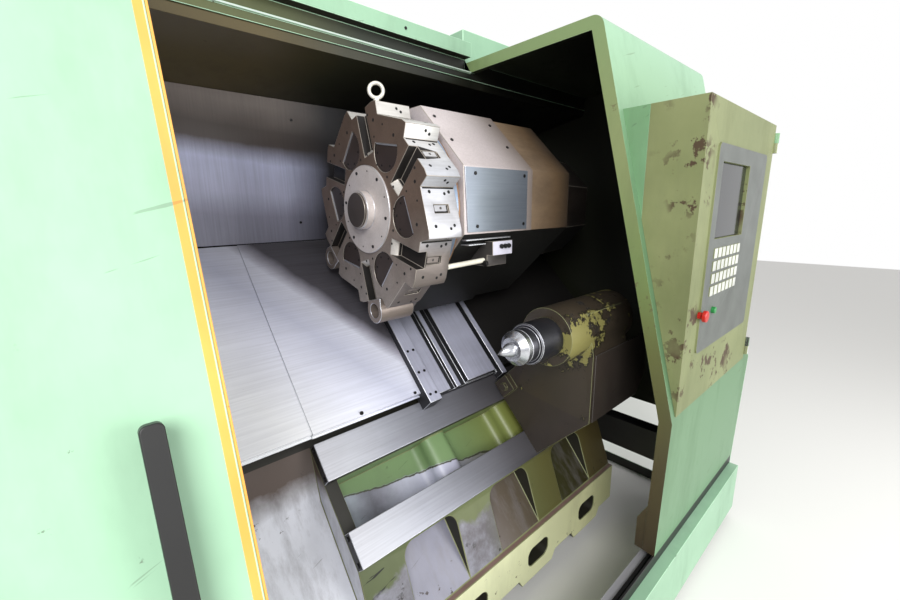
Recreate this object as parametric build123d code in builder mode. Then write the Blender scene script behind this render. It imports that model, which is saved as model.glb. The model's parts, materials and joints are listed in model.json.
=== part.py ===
from build123d import *
from math import atan2, cos, degrees, hypot, radians, sin
import os

# A slant-bed turning lathe with a twelve-station turret, a tailstock and a sliding front door.
# Sizes are in millimetres. X runs along the spindle towards the tailstock, Y to the back, Z up.
# The origin is on the floor under the middle of the machine.

# Overall size of the machine
machine_length = 3600
machine_depth = 1810
machine_height = 2400
sheet = 4
gap = 0.3
running = 0.05

# Spindle line and slant of the bed
spindle_y = -492
spindle_height = 1150
slant = 45

# Bed casting, measured square to the slant from the spindle line
way_depth = 500
way_bar_height = 45
bed_left_room = 500
bed_right = 1357
bed_back_y = 600
bed_top_reach = 880
foot_front_y = -453
foot_height = 55
foot_flange_top = 285
foot_ledge = 22
lower_way_reach = -337
lower_way_width = 113
upper_way_reach = -61
upper_way_width = 131
ways_left = -65
ways_right = 1340
trough_depth = 105
rib_drop = 22
rib_width = 120
rib_rounding = 38
arch_pitch = 415
arch_first_x = 215
arch_width = 236
arch_radius = 45
chute_back_y = -235
flange_hole_pitch = 390
flange_hole_first_x = -60
flange_hole_count = 4
flange_hole_length = 138
flange_hole_height = 84
flange_hole_z = 165
flange_hole_depth = 160
foot_recess_depth = 90

# Rails, saddle and way covers
rail_reaches = (175, 745)
rail_width = 60
rail_height = 45
cover_depth = 455
cover_sheet = 3
cover_low_reach = 90
cover_top_reach = 921
saddle_left = 380
saddle_right = 850
saddle_low_reach = 60
saddle_top_reach = 900
saddle_ridge_depth = 425
screw_radius = 20
screw_reach = 470

# Turret
turret_reach = 649.2
disc_front_x = 225
disc_thickness = 134
station_turn = 15
facet_distance = 312
facet_low = -150
facet_high = -16
lug_distance = 351
lug_side = 3
rim_radius = 304
rim_thickness = 22
groove_start = 185
groove_offset = 79
groove_width = 56
groove_depth = 32
groove_ramp = 20
key_length = 60
key_width = 26
key_depth = 6
plug_radius = 65
plug_circle = 225
plug_depth = 20
plug_first_turn = 54
plug_flat = 22
plug_flat_turn = 26
centre_flange_radius = 150
centre_flange_height = 7
flange_bolt_circle = 131
flange_bolt_radius = 6
flange_bolt_height = 3
flange_bolt_turn = -12
hub_radius = 65
hub_height = 28
boss_radius = 130
boss_length = 85
boss_end_room = 4
seal_radius = 300
seal_thickness = 19
socket_circle = 362.4
socket_radius = 46
socket_bore_radius = 28
socket_length = 145
socket_turn = -13
housing_right = 760
housing_front = 307
housing_low = -84
housing_high = 135
housing_top = 348
slide_top_depth = 300
slide_low_reach = 445
slide_high_reach = 800

# Tailstock
quill_radius = 73
quill_left = 543
quill_right = 1000
centre_tip_x = 396
centre_radius = 60
centre_split_x = 505
barrel_radius = 108
barrel_left = 660
tail_left = 800
tail_right = 1060
tail_front_y = -606
tail_low_reach = -330
tail_high_reach = 20
guard_low_z = 800
guard_high_z = 1070

# Headstock, spindle and chuck
guard_x = -600
head_setback = 150
head_right = -620
spindle_radius = 80
bar_bore_radius = 45
bearing_radius = 120
bearing_width = 60
chuck_left = -560
chuck_right = -430
chuck_radius = 200
jaw_width = 40
jaw_depth = 25
jaw_step = 30
motor_left_room = 240
motor_half_width = 165
motor_flange = 15

# Opening of the enclosure: bottom, knee, top front corner and top back corner
sill_z = 300
sill_height = 46
sill_wall = 8
opening_path = ((-867, sill_z + sill_height + gap), (-878, 884), (-534, 2232), (179, 2232))
opening_left = -435
opening_right = 850
corner_radius = 48
strip_back_y = -801
lip_depth = 44
lip_width = 25
top_rail_y = 71
cover_wall_gap = 5
back_wall_top = 2055
ceiling_front_z = 2128

# Sliding door
door_left_room = 132
door_outside = 12
door_inside = 33
edge_strip = 3
handle_z = 1200
handle_length = 360
handle_width = 24
handle_post = 18
handle_rise = 40
window_width = 700
window_low_z = 1150
window_high_z = 1900
glass = 8

# Control cabinet
console_width = 820
console_right_room = 100
console_top = 1926
console_seam_y = -704
console_bottom = 900
roof_box = (20, 450, 175, 600)
hinge_radius = 9
hinge_pin_radius = 5
hinge_height = 40
hinge_leaf = 4

# Support beam
beam_low_z = 405
beam_high_z = 555
beam_width = 73

# Service window in the right end cover: back, front, bottom and top
end_window = (-150, -560, 60, 480)

slant_cos = cos(radians(slant))
slant_sin = sin(radians(slant))
half_length = machine_length / 2
half_depth = machine_depth / 2
seat_depth = way_depth + way_bar_height
bed_left = bed_left_room - half_length
head_left = bed_left + head_setback
motor_left = motor_left_room - half_length
console_right = half_length - console_right_room
console_left = console_right - console_width


# Planes and outlines shared by the pieces
def across(x):
    """Plane square to the spindle: local x runs up the slant, local y out of it."""
    return Plane(origin=(x, spindle_y, spindle_height), x_dir=(0, slant_cos, slant_sin), z_dir=(1, 0, 0))


def upright(x):
    """Plane square to the spindle: local x runs to the back, local y up."""
    return Plane(origin=(x, 0, 0), x_dir=(0, 1, 0), z_dir=(1, 0, 0))


def slope_point(reach, rise):
    """Y and Z of a point given along and square to the slant."""
    return (
        spindle_y + reach * slant_cos - rise * slant_sin,
        spindle_height + reach * slant_sin + rise * slant_cos,
    )


def downhill(reach):
    """Plane square to the slant direction: local x runs right, local y out of the slant."""
    y, z = slope_point(reach, 0)
    return Plane(origin=(0, y, z), x_dir=(1, 0, 0), z_dir=(0, -slant_cos, -slant_sin))


def facing(x):
    """Plane on the turret centre seen from the chuck: local x runs to the front, local y up."""
    return Plane(origin=(x, turret_y, turret_z), x_dir=(0, -1, 0), z_dir=(-1, 0, 0))


def rectangle(low_x, high_x, low_y, high_y):
    """Four corners of an upright rectangle."""
    return [(low_x, low_y), (high_x, low_y), (high_x, high_y), (low_x, high_y)]


def prism(plane, points, length, radius=0, mode=Mode.ADD):
    """Extrude one closed outline drawn on a plane."""
    with BuildSketch(plane) as profile:
        with BuildLine():
            FilletPolyline(*points, radius=radius, close=True)
        make_face()
    extrude(profile.sketch, amount=length, mode=mode)


def rod(x_low, x_high, centre, radius, mode=Mode.ADD):
    """Extrude a round bar along X about a centre given as Y and Z."""
    with BuildSketch(upright(x_low)) as profile:
        with Locations(centre):
            Circle(radius)
    extrude(profile.sketch, amount=x_high - x_low, mode=mode)


def turned(points):
    """Turn an outline of X and radius about the spindle line."""
    with BuildSketch(Plane(origin=(0, spindle_y, spindle_height), x_dir=(1, 0, 0), z_dir=(0, -1, 0))) as profile:
        with BuildLine():
            Polyline(*points, close=True)
        make_face()
    revolve(profile.sketch, axis=Axis((0, spindle_y, spindle_height), (1, 0, 0)))


def offset_path(path, amount):
    """Shift an open path to its left, with mitred corners."""
    shifted = []
    for index, (x, y) in enumerate(path):
        before = path[max(index - 1, 0)]
        after = path[min(index + 1, len(path) - 1)]
        into = (x - before[0], y - before[1]) if index else (after[0] - x, after[1] - y)
        out = (after[0] - x, after[1] - y) if index < len(path) - 1 else into
        first = (-into[1] / hypot(*into), into[0] / hypot(*into))
        second = (-out[1] / hypot(*out), out[0] / hypot(*out))
        mitre = 1 + first[0] * second[0] + first[1] * second[1]
        shifted.append((x + amount * (first[0] + second[0]) / mitre, y + amount * (first[1] + second[1]) / mitre))
    return shifted


def folded(path, inner, outer):
    """Outline of a folded sheet that follows a path, between two distances to its left."""
    return offset_path(path, outer) + offset_path(path, inner)[::-1]


def fold_radii(path, inner, outer):
    """Corner radii that round only the top front fold of a sheet."""
    outside = [0] * len(path)
    outside[2] = corner_radius + outer
    inside = [0] * len(path)
    inside[2] = corner_radius + inner
    return outside + inside[::-1]


def slope_y(z):
    """Y of the sloped opening plane at a height."""
    (low_y, low_z), (high_y, high_z) = opening_path[1], opening_path[2]
    return low_y + (z - low_z) * (high_y - low_y) / (high_z - low_z)


def slope_z(y):
    """Height of the sloped opening plane at a Y."""
    (low_y, low_z), (high_y, high_z) = opening_path[1], opening_path[2]
    return low_z + (y - low_y) * (high_z - low_z) / (high_y - low_y)


def save(part, name):
    """Label a finished piece and write it out."""
    part.label = name
    export_step(part, f"parts/{name}.step")


os.makedirs("parts", exist_ok=True)
spindle_centre = (spindle_y, spindle_height)
turret_y, turret_z = slope_point(turret_reach, 0)
turret_centre = (turret_y, turret_z)
disc_back_x = disc_front_x + disc_thickness
rim_back_x = disc_back_x + rim_thickness
back_wall_y = slope_point(cover_top_reach, -cover_depth)[0] + cover_wall_gap
slope_angle = atan2(opening_path[2][1] - opening_path[1][1], opening_path[2][0] - opening_path[1][0])
slope_out = (0, -sin(slope_angle), cos(slope_angle))


def slope_plane(x, z, outside=0):
    """Plane on the sloped opening: local x runs right, local y up the slope."""
    return Plane(
        origin=(x, slope_y(z) + slope_out[1] * outside, z + slope_out[2] * outside),
        x_dir=(1, 0, 0),
        z_dir=slope_out,
    )


# Bed casting with trough, ribs, arched chip windows and foot flange
chute_front = (foot_front_y + foot_ledge, foot_flange_top)
bed_front_edge = slope_point(lower_way_reach, -seat_depth)
bed_outline = [
    (foot_front_y, foot_height),
    (foot_front_y, foot_flange_top),
    chute_front,
    bed_front_edge,
    slope_point(bed_top_reach, -seat_depth),
    (bed_back_y, slope_point(bed_top_reach, -seat_depth)[1] - 90),
    (bed_back_y, foot_height),
]
arch_centres = [arch_first_x + arch_pitch * index for index in range(3)]
rib_centres = [centre + arch_pitch / 2 for centre in arch_centres]
chute_top_z = bed_front_edge[1] - 8
trough_low = lower_way_reach + lower_way_width
with BuildPart() as bed:
    prism(upright(bed_left), bed_outline, bed_right - bed_left)
    for centre in arch_centres:
        chute = [
            (foot_front_y - 10, foot_flange_top),
            chute_front,
            (chute_back_y, chute_top_z),
            (foot_front_y - 10, chute_top_z),
        ]
        prism(upright(centre - arch_width / 2), chute, arch_width, mode=Mode.SUBTRACT)
    open_chute = [
        (foot_front_y - 10, foot_flange_top),
        chute_front,
        (-110, 640),
        slope_point(cover_low_reach - 14, -seat_depth),
        slope_point(cover_low_reach - 14, -way_depth),
        (foot_front_y - 10, 900),
    ]
    prism(upright(guard_x + sheet), open_chute, ways_left - guard_x - sheet, mode=Mode.SUBTRACT)
    trough = [(ways_left + 45, -seat_depth + 5), (ways_left + 45, -seat_depth - trough_depth)]
    for centre in rib_centres[:2]:
        left, right = centre - rib_width / 2, centre + rib_width / 2
        trough.extend([(left, -seat_depth - trough_depth), (left, -seat_depth - rib_drop)])
        trough.extend([(right, -seat_depth - rib_drop), (right, -seat_depth - trough_depth)])
    trough_end = rib_centres[2] - rib_width / 2
    trough.extend([(trough_end, -seat_depth - trough_depth), (trough_end, -seat_depth + 5)])
    rounding = [0] + [rib_rounding] * (len(trough) - 2) + [0]
    prism(downhill(upper_way_reach), trough, upper_way_reach - trough_low, radius=rounding, mode=Mode.SUBTRACT)
    with BuildSketch(Plane.XZ.offset(-foot_front_y)):
        for index in range(flange_hole_count):
            with Locations((flange_hole_first_x + flange_hole_pitch * index, flange_hole_z)):
                RectangleRounded(flange_hole_length, flange_hole_height, flange_hole_height / 2.6)
    extrude(amount=-flange_hole_depth, mode=Mode.SUBTRACT)
    with BuildSketch(Plane.XZ.offset(-foot_front_y)):
        for index in range(flange_hole_count):
            middle = flange_hole_first_x + flange_hole_pitch * (index + 0.5)
            with Locations((middle, foot_height)):
                Trapezoid(230, 80, 58)
    extrude(amount=-foot_recess_depth, mode=Mode.SUBTRACT)
    arch_corners = (
        bed.edges()
        .filter_by(lambda edge: abs(edge.center().Z - chute_top_z) < 1 and edge.length > 40)
        .filter_by(Axis.Y)
    )
    fillet(arch_corners, arch_radius)
save(bed.part, "bed")


# Ground guideways for the tailstock
def way_bar(low_reach, width):
    with BuildPart() as bar:
        outline = rectangle(low_reach, low_reach + width, -seat_depth, -way_depth)
        prism(across(ways_left), outline, ways_right - ways_left, radius=[5, 5, 3, 3])
    return bar.part


save(way_bar(lower_way_reach, lower_way_width), "lower_guideway")
save(way_bar(upper_way_reach, upper_way_width), "upper_guideway")

# Rails that the saddle runs on, under the way covers
rail_left = guard_x + 25
with BuildPart() as saddle_rails:
    for reach in rail_reaches:
        outline = rectangle(reach, reach + rail_width, -seat_depth, -seat_depth + rail_height)
        prism(across(rail_left), outline, ways_right - rail_left)
save(saddle_rails.part, "saddle_rails")

# Headstock casting
with BuildPart() as headstock:
    outline = [
        (-280, -seat_depth),
        (-280, 60),
        (-170, 158),
        (170, 158),
        (300, 60),
        (300, -seat_depth),
    ]
    prism(across(head_left), outline, head_right - head_left)
    rod(head_left, head_right, spindle_centre, spindle_radius + 10, mode=Mode.SUBTRACT)
    rod(head_left, head_left + bearing_width, spindle_centre, bearing_radius, mode=Mode.SUBTRACT)
    rod(head_right - bearing_width, head_right, spindle_centre, bearing_radius, mode=Mode.SUBTRACT)
save(headstock.part, "headstock")

with BuildPart() as spindle_bearings:
    for start in (head_left + gap, head_right - bearing_width + gap):
        rod(start, start + bearing_width - 2 * gap, spindle_centre, bearing_radius - running)
    rod(head_left, head_right, spindle_centre, spindle_radius + running, mode=Mode.SUBTRACT)
save(spindle_bearings.part, "spindle_bearings")

# Motor flanged to the back of the headstock, with a bore for bar stock
spindle_tail = head_left - 30
with BuildPart() as spindle_motor:
    for left, half in ((motor_left, motor_half_width), (spindle_tail, motor_half_width + motor_flange)):
        outline = rectangle(spindle_y - half, spindle_y + half, spindle_height - half, spindle_height + half)
        prism(upright(left), outline, head_left - left, radius=45)
    rod(motor_left, head_left, spindle_centre, bar_bore_radius + 5, mode=Mode.SUBTRACT)
    rod(spindle_tail - 10, head_left, spindle_centre, spindle_radius + 8, mode=Mode.SUBTRACT)
save(spindle_motor.part, "spindle_motor")

# Sheet guard between headstock and work area
front_cover_inset = door_inside + gap + 8
guard_edge = offset_path(opening_path, -front_cover_inset - sheet - gap)
with BuildPart() as headstock_guard:
    outline = [
        (foot_front_y, foot_flange_top + gap),
        (strip_back_y + gap, foot_flange_top + gap),
        (strip_back_y + gap, sill_z + 6 + gap),
        guard_edge[0],
        guard_edge[1],
        (slope_y(ceiling_front_z) + front_cover_inset + 8, ceiling_front_z - 10),
        (back_wall_y - gap, back_wall_top - 10),
        (back_wall_y - gap, slope_point(cover_top_reach, -cover_depth)[1]),
        slope_point(bed_top_reach, -seat_depth + gap),
        slope_point(lower_way_reach, -seat_depth + gap),
        (chute_front[0] - gap, foot_flange_top + gap),
    ]
    prism(upright(guard_x), outline, sheet)
    rod(guard_x, guard_x + sheet, spindle_centre, spindle_radius + 15, mode=Mode.SUBTRACT)
save(headstock_guard.part, "headstock_guard")


# Way covers: the left one slides over a fixed one, the right one slides into the end housing
def way_cover(left, right, depth, low_reach):
    """Bright sheet with a turned-down lower lip and a gutter."""
    with BuildPart() as cover:
        outline = [
            (low_reach, -depth),
            (cover_top_reach, -depth),
            (cover_top_reach, -depth - cover_sheet),
            (low_reach + cover_sheet, -depth - cover_sheet),
            (low_reach + cover_sheet, -depth - 22),
            (low_reach - 8, -depth - 22),
            (low_reach - 8, -depth - 19),
            (low_reach, -depth - 19),
        ]
        prism(across(left), outline, right - left)
    return cover.part


cover_split = -40
fixed_cover_drop = cover_sheet + gap
save(
    way_cover(guard_x + sheet + gap, cover_split, cover_depth + fixed_cover_drop, cover_low_reach + fixed_cover_drop),
    "fixed_way_cover",
)
save(way_cover(cover_split - 30, saddle_left, cover_depth, cover_low_reach), "saddle_way_cover")
save(way_cover(saddle_right, half_length - 65, cover_depth, cover_low_reach), "right_way_cover")

# Back wall and ceiling of the work area
enclosure_right = half_length - sheet - gap
with BuildPart() as back_wall:
    bottom = slope_point(cover_top_reach, -cover_depth)[1] + 2
    outline = rectangle(back_wall_y, back_wall_y + sheet, bottom, back_wall_top)
    prism(upright(guard_x), outline, enclosure_right - guard_x)
save(back_wall.part, "back_wall")

with BuildPart() as ceiling:
    path = [
        (top_rail_y + 14, ceiling_front_z + 30),
        (top_rail_y + 14, ceiling_front_z),
        (back_wall_y + sheet, back_wall_top + gap),
    ]
    prism(upright(guard_x), folded(path, 0, sheet), enclosure_right - guard_x)
save(ceiling.part, "ceiling")

# Top rail with its slot and guide lip, seen above the opening
rail_top = 2303
rail_band_bottom = 2247
guide_z = 2190
with BuildPart() as top_rail:
    outline = [
        (top_rail_y, rail_band_bottom),
        (top_rail_y, rail_top),
        (opening_path[3][0], rail_top),
        (opening_path[3][0], ceiling_front_z + 30 + gap),
        (top_rail_y + 8, ceiling_front_z + 30 + gap),
        (top_rail_y + 8, guide_z - 6),
        (top_rail_y, guide_z - 6),
        (top_rail_y, guide_z),
        (top_rail_y + 42, guide_z),
        (top_rail_y + 42, rail_band_bottom),
    ]
    prism(upright(-half_length + sheet + gap), outline, opening_right + half_length - sheet - 2 * gap)
    frame_top = opening_path[3][1]
    low = rectangle(top_rail_y + 8, opening_path[3][0], ceiling_front_z + 30 + gap, frame_top - lip_depth - gap)
    prism(upright(opening_right - 10), low, enclosure_right - opening_right + 10)
    high = rectangle(top_rail_y + 8, opening_path[3][0], frame_top - lip_depth - 10, frame_top - sheet - gap)
    prism(upright(opening_right + lip_width + gap), high, enclosure_right - opening_right - lip_width - gap)
save(top_rail.part, "top_rail")

# Lower rail that the door runs on, with the light strip behind it
with BuildPart() as light_strip:
    outline = rectangle(strip_back_y - 29, strip_back_y, sill_z, sill_z + 6)
    prism(upright(guard_x + sheet), outline, half_length - 96 - guard_x - sheet)
save(light_strip.part, "light_strip")

with BuildPart() as sill_rail:
    sill_front = opening_path[0][0] + 1
    outline = [
        (sill_front + 4 * sill_wall, sill_z),
        (sill_front + 4 * sill_wall, sill_z + 22),
        (sill_front + 2.5 * sill_wall, sill_z + 22),
        (sill_front + 2.5 * sill_wall, sill_z + 10),
        (sill_front + sill_wall, sill_z + 10),
        (sill_front + sill_wall, sill_z + sill_height),
        (sill_front, sill_z + sill_height),
        (sill_front, sill_z),
    ]
    prism(upright(-half_length + sheet + gap), outline, machine_length - 2 * sheet - 2 * gap)
save(sill_rail.part, "sill_rail")

# Lower front apron
with BuildPart() as apron:
    path = [
        (-half_depth + sheet + 16, 42),
        (-half_depth + sheet, 60),
        (-half_depth + sheet, sill_z - sheet - gap),
        (strip_back_y, sill_z - sheet - gap),
    ]
    prism(upright(-half_length + sheet + gap), folded(path, 0, sheet), machine_length - 2 * sheet - 2 * gap)
save(apron.part, "apron")

# Fixed sloped cover behind the door
with BuildPart() as left_front_cover:
    path = opening_path[:3] + ((top_rail_y - 5, opening_path[3][1]),)
    outline = folded(path, -front_cover_inset - sheet, -front_cover_inset)
    prism(upright(-half_length + sheet + gap), outline, guard_x + 60 + half_length)
save(left_front_cover.part, "left_front_cover")

# Hinges of the control cabinet, on its right side
button_rise = 22
cabinet_face_y = -half_depth + button_rise
hinge_x = console_right + gap + hinge_leaf + hinge_radius - 2
hinge_y = cabinet_face_y + 2
upper_hinge_z = console_top - 70
lower_hinge_z = console_bottom + 60


def fixed_hinge_half(low_z, leaf_back_y):
    """Leaf and knuckle on the machine side, with a pin that hangs below them."""
    with BuildSketch(Plane.XY.offset(low_z)) as knuckle:
        with Locations((hinge_x, hinge_y)):
            Circle(hinge_radius)
        with Locations((console_right + gap + hinge_leaf / 2, (hinge_y + leaf_back_y) / 2)):
            Rectangle(hinge_leaf, leaf_back_y - hinge_y)
    extrude(knuckle.sketch, amount=hinge_height)
    with BuildSketch(Plane.XY.offset(low_z - hinge_height + gap)) as pin:
        with Locations((hinge_x, hinge_y)):
            Circle(hinge_pin_radius)
    extrude(pin.sketch, amount=hinge_height)


def moving_hinge_half(low_z):
    """Leaf and knuckle on the door side, below the fixed half."""
    with BuildSketch(Plane.XY.offset(low_z - hinge_height)) as knuckle:
        with Locations((hinge_x, hinge_y)):
            Circle(hinge_radius)
        with Locations((console_right + hinge_leaf / 2 - 1, hinge_y + 3)):
            Rectangle(hinge_leaf + 2, hinge_radius)
    extrude(knuckle.sketch, amount=hinge_height - gap)
    with BuildSketch(Plane.XY.offset(low_z - hinge_height)) as bore:
        with Locations((hinge_x, hinge_y)):
            Circle(hinge_pin_radius + running)
    extrude(bore.sketch, amount=hinge_height, mode=Mode.SUBTRACT)


# Right front frame: sloped cover with a lip around the opening and a foot bracket
with BuildPart() as right_frame:
    prism(
        upright(opening_right),
        folded(opening_path, -sheet, 0),
        enclosure_right - opening_right,
        radius=fold_radii(opening_path, -sheet, 0),
    )
    prism(
        upright(opening_right),
        folded(opening_path, -lip_depth, 0),
        lip_width,
        radius=fold_radii(opening_path, -lip_depth, 0),
    )
    bracket = [
        (opening_path[0][0] + 10, opening_path[0][1]),
        (opening_path[0][0] + 75, opening_path[0][1]),
        (opening_path[0][0] + 75, sill_z + 170),
        (opening_path[0][0] + 40, sill_z + 240),
        (opening_path[0][0] + 10, sill_z + 240),
    ]
    prism(upright(opening_right + 3), bracket, 8)
    fixed_hinge_half(lower_hinge_z, slope_y(lower_hinge_z) + 20)
save(right_frame.part, "right_frame")

# Wedge-shaped console behind the control cabinet door
with BuildPart() as console_housing:
    outline = [
        (slope_y(console_top) - gap, console_top),
        (console_seam_y, console_top),
        (console_seam_y, slope_z(console_seam_y + gap)),
    ]
    prism(upright(console_left), outline, console_right - console_left)
    fixed_hinge_half(upper_hinge_z, console_seam_y + 40)
    with BuildSketch(Plane.XY.offset(upper_hinge_z)) as seat:
        with Locations((console_right, console_seam_y + 20)):
            Rectangle(hinge_leaf, 36)
    extrude(seat.sketch, amount=hinge_height)
save(console_housing.part, "console_housing")

# Control cabinet door with a recessed screen, keys and a palm rail
screen_plane = Plane(origin=(0, cabinet_face_y, 0), x_dir=(1, 0, 0), z_dir=(0, -1, 0))
screen_centre = (console_left + 320, 1620)
panel_centre = (console_left + 410, 1450)
screen_size = (320, 250)
button_z = 1240
button_radius = 20
button_stem = 12
stop_x = console_left + 110
start_x = console_left + 230
with BuildPart() as control_door:
    outline = [
        (console_seam_y - gap, console_top),
        (cabinet_face_y + 6, console_top),
        (cabinet_face_y + 6, console_bottom),
        (slope_y(console_bottom) - gap, console_bottom),
        (console_seam_y - gap, slope_z(console_seam_y)),
    ]
    prism(upright(console_left), outline, console_right - console_left)
    with BuildSketch(screen_plane.offset(-6)):
        with Locations(panel_centre):
            RectangleRounded(600, 700, 20)
    extrude(amount=6)
    with BuildSketch(screen_plane):
        with Locations(screen_centre):
            Rectangle(*screen_size)
    extrude(amount=-18, mode=Mode.SUBTRACT)
    with BuildSketch(screen_plane):
        with Locations((screen_centre[0], screen_centre[1] - 240)):
            with GridLocations(44, 44, 7, 4):
                Rectangle(34, 34)
    extrude(amount=3)
    with BuildSketch(screen_plane):
        with Locations((stop_x, button_z), (start_x, button_z)):
            RegularPolygon(button_stem + gap, 16)
    extrude(amount=-26, mode=Mode.SUBTRACT)
    for hinge_z in (upper_hinge_z, lower_hinge_z):
        moving_hinge_half(hinge_z)
save(control_door.part, "control_door")

with BuildPart() as screen:
    with BuildSketch(screen_plane.offset(-18)):
        with Locations(screen_centre):
            Rectangle(screen_size[0] - 2 * gap, screen_size[1] - 2 * gap)
    extrude(amount=6)
save(screen.part, "screen")


# Mushroom-head emergency stop and round start button
def button(x, head_radius, head_height):
    with BuildPart() as pushed:
        with BuildSketch(screen_plane.offset(-18)):
            with Locations((x, button_z)):
                RegularPolygon(button_stem, 16)
        extrude(amount=18 + head_height)
        with BuildSketch(screen_plane.offset(8)):
            with Locations((x, button_z)):
                RegularPolygon(head_radius, 16)
        extrude(amount=head_height - 8)
    return pushed.part


save(button(stop_x, button_radius, button_rise), "emergency_stop")
save(button(start_x, button_stem, 12), "start_button")

# End covers
side_outline = [
    (opening_path[0][0], 0),
    (opening_path[0][0], sill_z - sheet - 2 * gap),
    opening_path[0],
    opening_path[1],
    opening_path[2],
    (half_depth, opening_path[3][1]),
    (half_depth, 0),
]
for name, left in (("left_end_cover", -half_length), ("right_end_cover", half_length - sheet)):
    with BuildPart() as end_cover:
        prism(upright(left), side_outline, sheet, radius=[0, 0, 0, 0, corner_radius, 20, 0])
        if left > 0:
            prism(upright(left), rectangle(*end_window), sheet, radius=30, mode=Mode.SUBTRACT)
    save(end_cover.part, name)

# Rear cover with the roof in one folded sheet
with BuildPart() as rear_cover:
    path = [(opening_path[3][0] + gap, opening_path[3][1]), (half_depth, opening_path[3][1]), (half_depth, 0)]
    outline = folded(path, -sheet, 0)
    prism(upright(-half_length + sheet + gap), outline, machine_length - 2 * sheet - 2 * gap)
    with BuildSketch(Plane(origin=(0, half_depth, 0), x_dir=(-1, 0, 0), z_dir=(0, 1, 0))):
        for x in (700 - half_length, half_length - 700):
            with Locations((x, 1500)):
                with GridLocations(0, 40, 1, 9):
                    Rectangle(420, 14)
    extrude(amount=-sheet / 2, mode=Mode.SUBTRACT)
save(rear_cover.part, "rear_cover")

# Beam from the bed's right end to the front frame
with BuildPart() as support_beam:
    outline = rectangle(opening_path[0][0] + 8, foot_front_y + 250, beam_low_z, beam_high_z)
    prism(upright(bed_right), outline, beam_width)
save(support_beam.part, "support_beam")

# Levelling feet under the bed
bed_centre = ((bed_left + bed_right) / 2, (bed_back_y + foot_front_y) / 2)
foot_spacing = ((bed_right - bed_left) / 3 - 60, bed_back_y - foot_front_y - 270)
with BuildPart() as levelling_feet:
    with BuildSketch(Plane.XY):
        with Locations(bed_centre):
            with GridLocations(*foot_spacing, 4, 2):
                RegularPolygon(45, 12)
    extrude(amount=20)
    with BuildSketch(Plane.XY.offset(20)):
        with Locations(bed_centre):
            with GridLocations(*foot_spacing, 4, 2):
                RegularPolygon(24, 6)
    extrude(amount=foot_height - 20)
save(levelling_feet.part, "levelling_feet")

# Box on the roof behind the rail
with BuildPart() as roof_box_part:
    outline = rectangle(roof_box[2], roof_box[3], opening_path[3][1], machine_height)
    prism(upright(console_left + roof_box[0]), outline, roof_box[1] - roof_box[0])
save(roof_box_part.part, "roof_box")

# Saddle with its ridges and strips, running up the slant
strips = (
    (0, 60, saddle_ridge_depth, -27),
    (65, 136, 445, 0),
    (176, 200, 452, 0),
    (238, 413, 440, 5),
    (440, 470, 440, -24),
)
with BuildPart() as saddle:
    base = rectangle(saddle_left, saddle_right, -way_depth + gap, -470)
    prism(downhill(saddle_top_reach), base, saddle_top_reach - saddle_low_reach)
    for left, right, depth, extra in strips:
        outline = rectangle(saddle_left + left, saddle_left + right, -way_depth + gap, -depth)
        prism(downhill(saddle_top_reach), outline, saddle_top_reach - saddle_low_reach - extra)
    for reach in rail_reaches:
        outline = rectangle(reach - gap, reach + rail_width + gap, -seat_depth, -way_depth + gap)
        prism(across(saddle_left), outline, saddle_right - saddle_left, mode=Mode.SUBTRACT)
save(saddle.part, "saddle")

# Saddle screw
with BuildPart() as saddle_screw:
    with BuildSketch(across(rail_left)):
        with Locations((screw_reach, -seat_depth + screw_radius + gap)):
            Circle(screw_radius)
    extrude(amount=ways_right - rail_left)
save(saddle_screw.part, "saddle_screw")

# Cross slide under the turret housing, riding on the saddle
slide_left = saddle_left + 45
slide_right = saddle_right - 40
with BuildPart() as cross_slide:
    outline = rectangle(slide_low_reach, slide_high_reach, -saddle_ridge_depth + gap, -slide_top_depth - gap)
    prism(across(slide_left), outline, slide_right - slide_left, radius=[0, 0, 12, 12])
save(cross_slide.part, "cross_slide")

# Cross screw in its channel under the cross slide
cross_screw_radius = 13
with BuildPart() as cross_screw:
    with BuildSketch(downhill(saddle_top_reach - 10)):
        with Locations((saddle_left + 156, -470 + cross_screw_radius + gap)):
            Circle(cross_screw_radius)
    extrude(amount=saddle_top_reach - 20 - slide_low_reach)
save(cross_screw.part, "cross_screw")

# Turret housing, eight-sided with its slanted foot on the cross slide
housing_bottom = slope_point(0, -slide_top_depth)
housing_rise = housing_bottom[1] - housing_bottom[0]


def housing_outline(shrink):
    """Outline of the turret housing about the turret centre."""
    front = turret_y - housing_front + shrink
    back = turret_y + housing_front - shrink
    low = turret_z + housing_low
    high = turret_z + housing_high
    top = turret_z + housing_top - shrink
    chamfer = top - high
    foot_front = (front + low - housing_rise) / 2
    return [
        (front, low),
        (front, high),
        (front + chamfer, top),
        (back - chamfer, top),
        (back, high),
        (back, back + housing_rise + shrink),
        (foot_front, foot_front + housing_rise + shrink),
    ]


housing_left = rim_back_x + seal_thickness + gap
with BuildPart() as turret_housing:
    prism(upright(housing_left), housing_outline(0), housing_right - housing_left, radius=4)
    rod(housing_left, rim_back_x + boss_length, turret_centre, boss_radius + running, mode=Mode.SUBTRACT)
save(turret_housing.part, "turret_housing")

# Screwed plate on the housing front, slanted along its left edge
plate_plane = Plane(origin=(0, turret_y - housing_front, turret_z), x_dir=(1, 0, 0), z_dir=(0, -1, 0))
with BuildPart() as turret_plate:
    outline = [
        (housing_left + 15, housing_low + 6),
        (housing_right - 36, housing_low + 6),
        (housing_right - 36, housing_high - 4),
        (housing_left + 3, housing_high - 4),
    ]
    prism(plate_plane, outline, 4)
save(turret_plate.part, "turret_plate")

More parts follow.
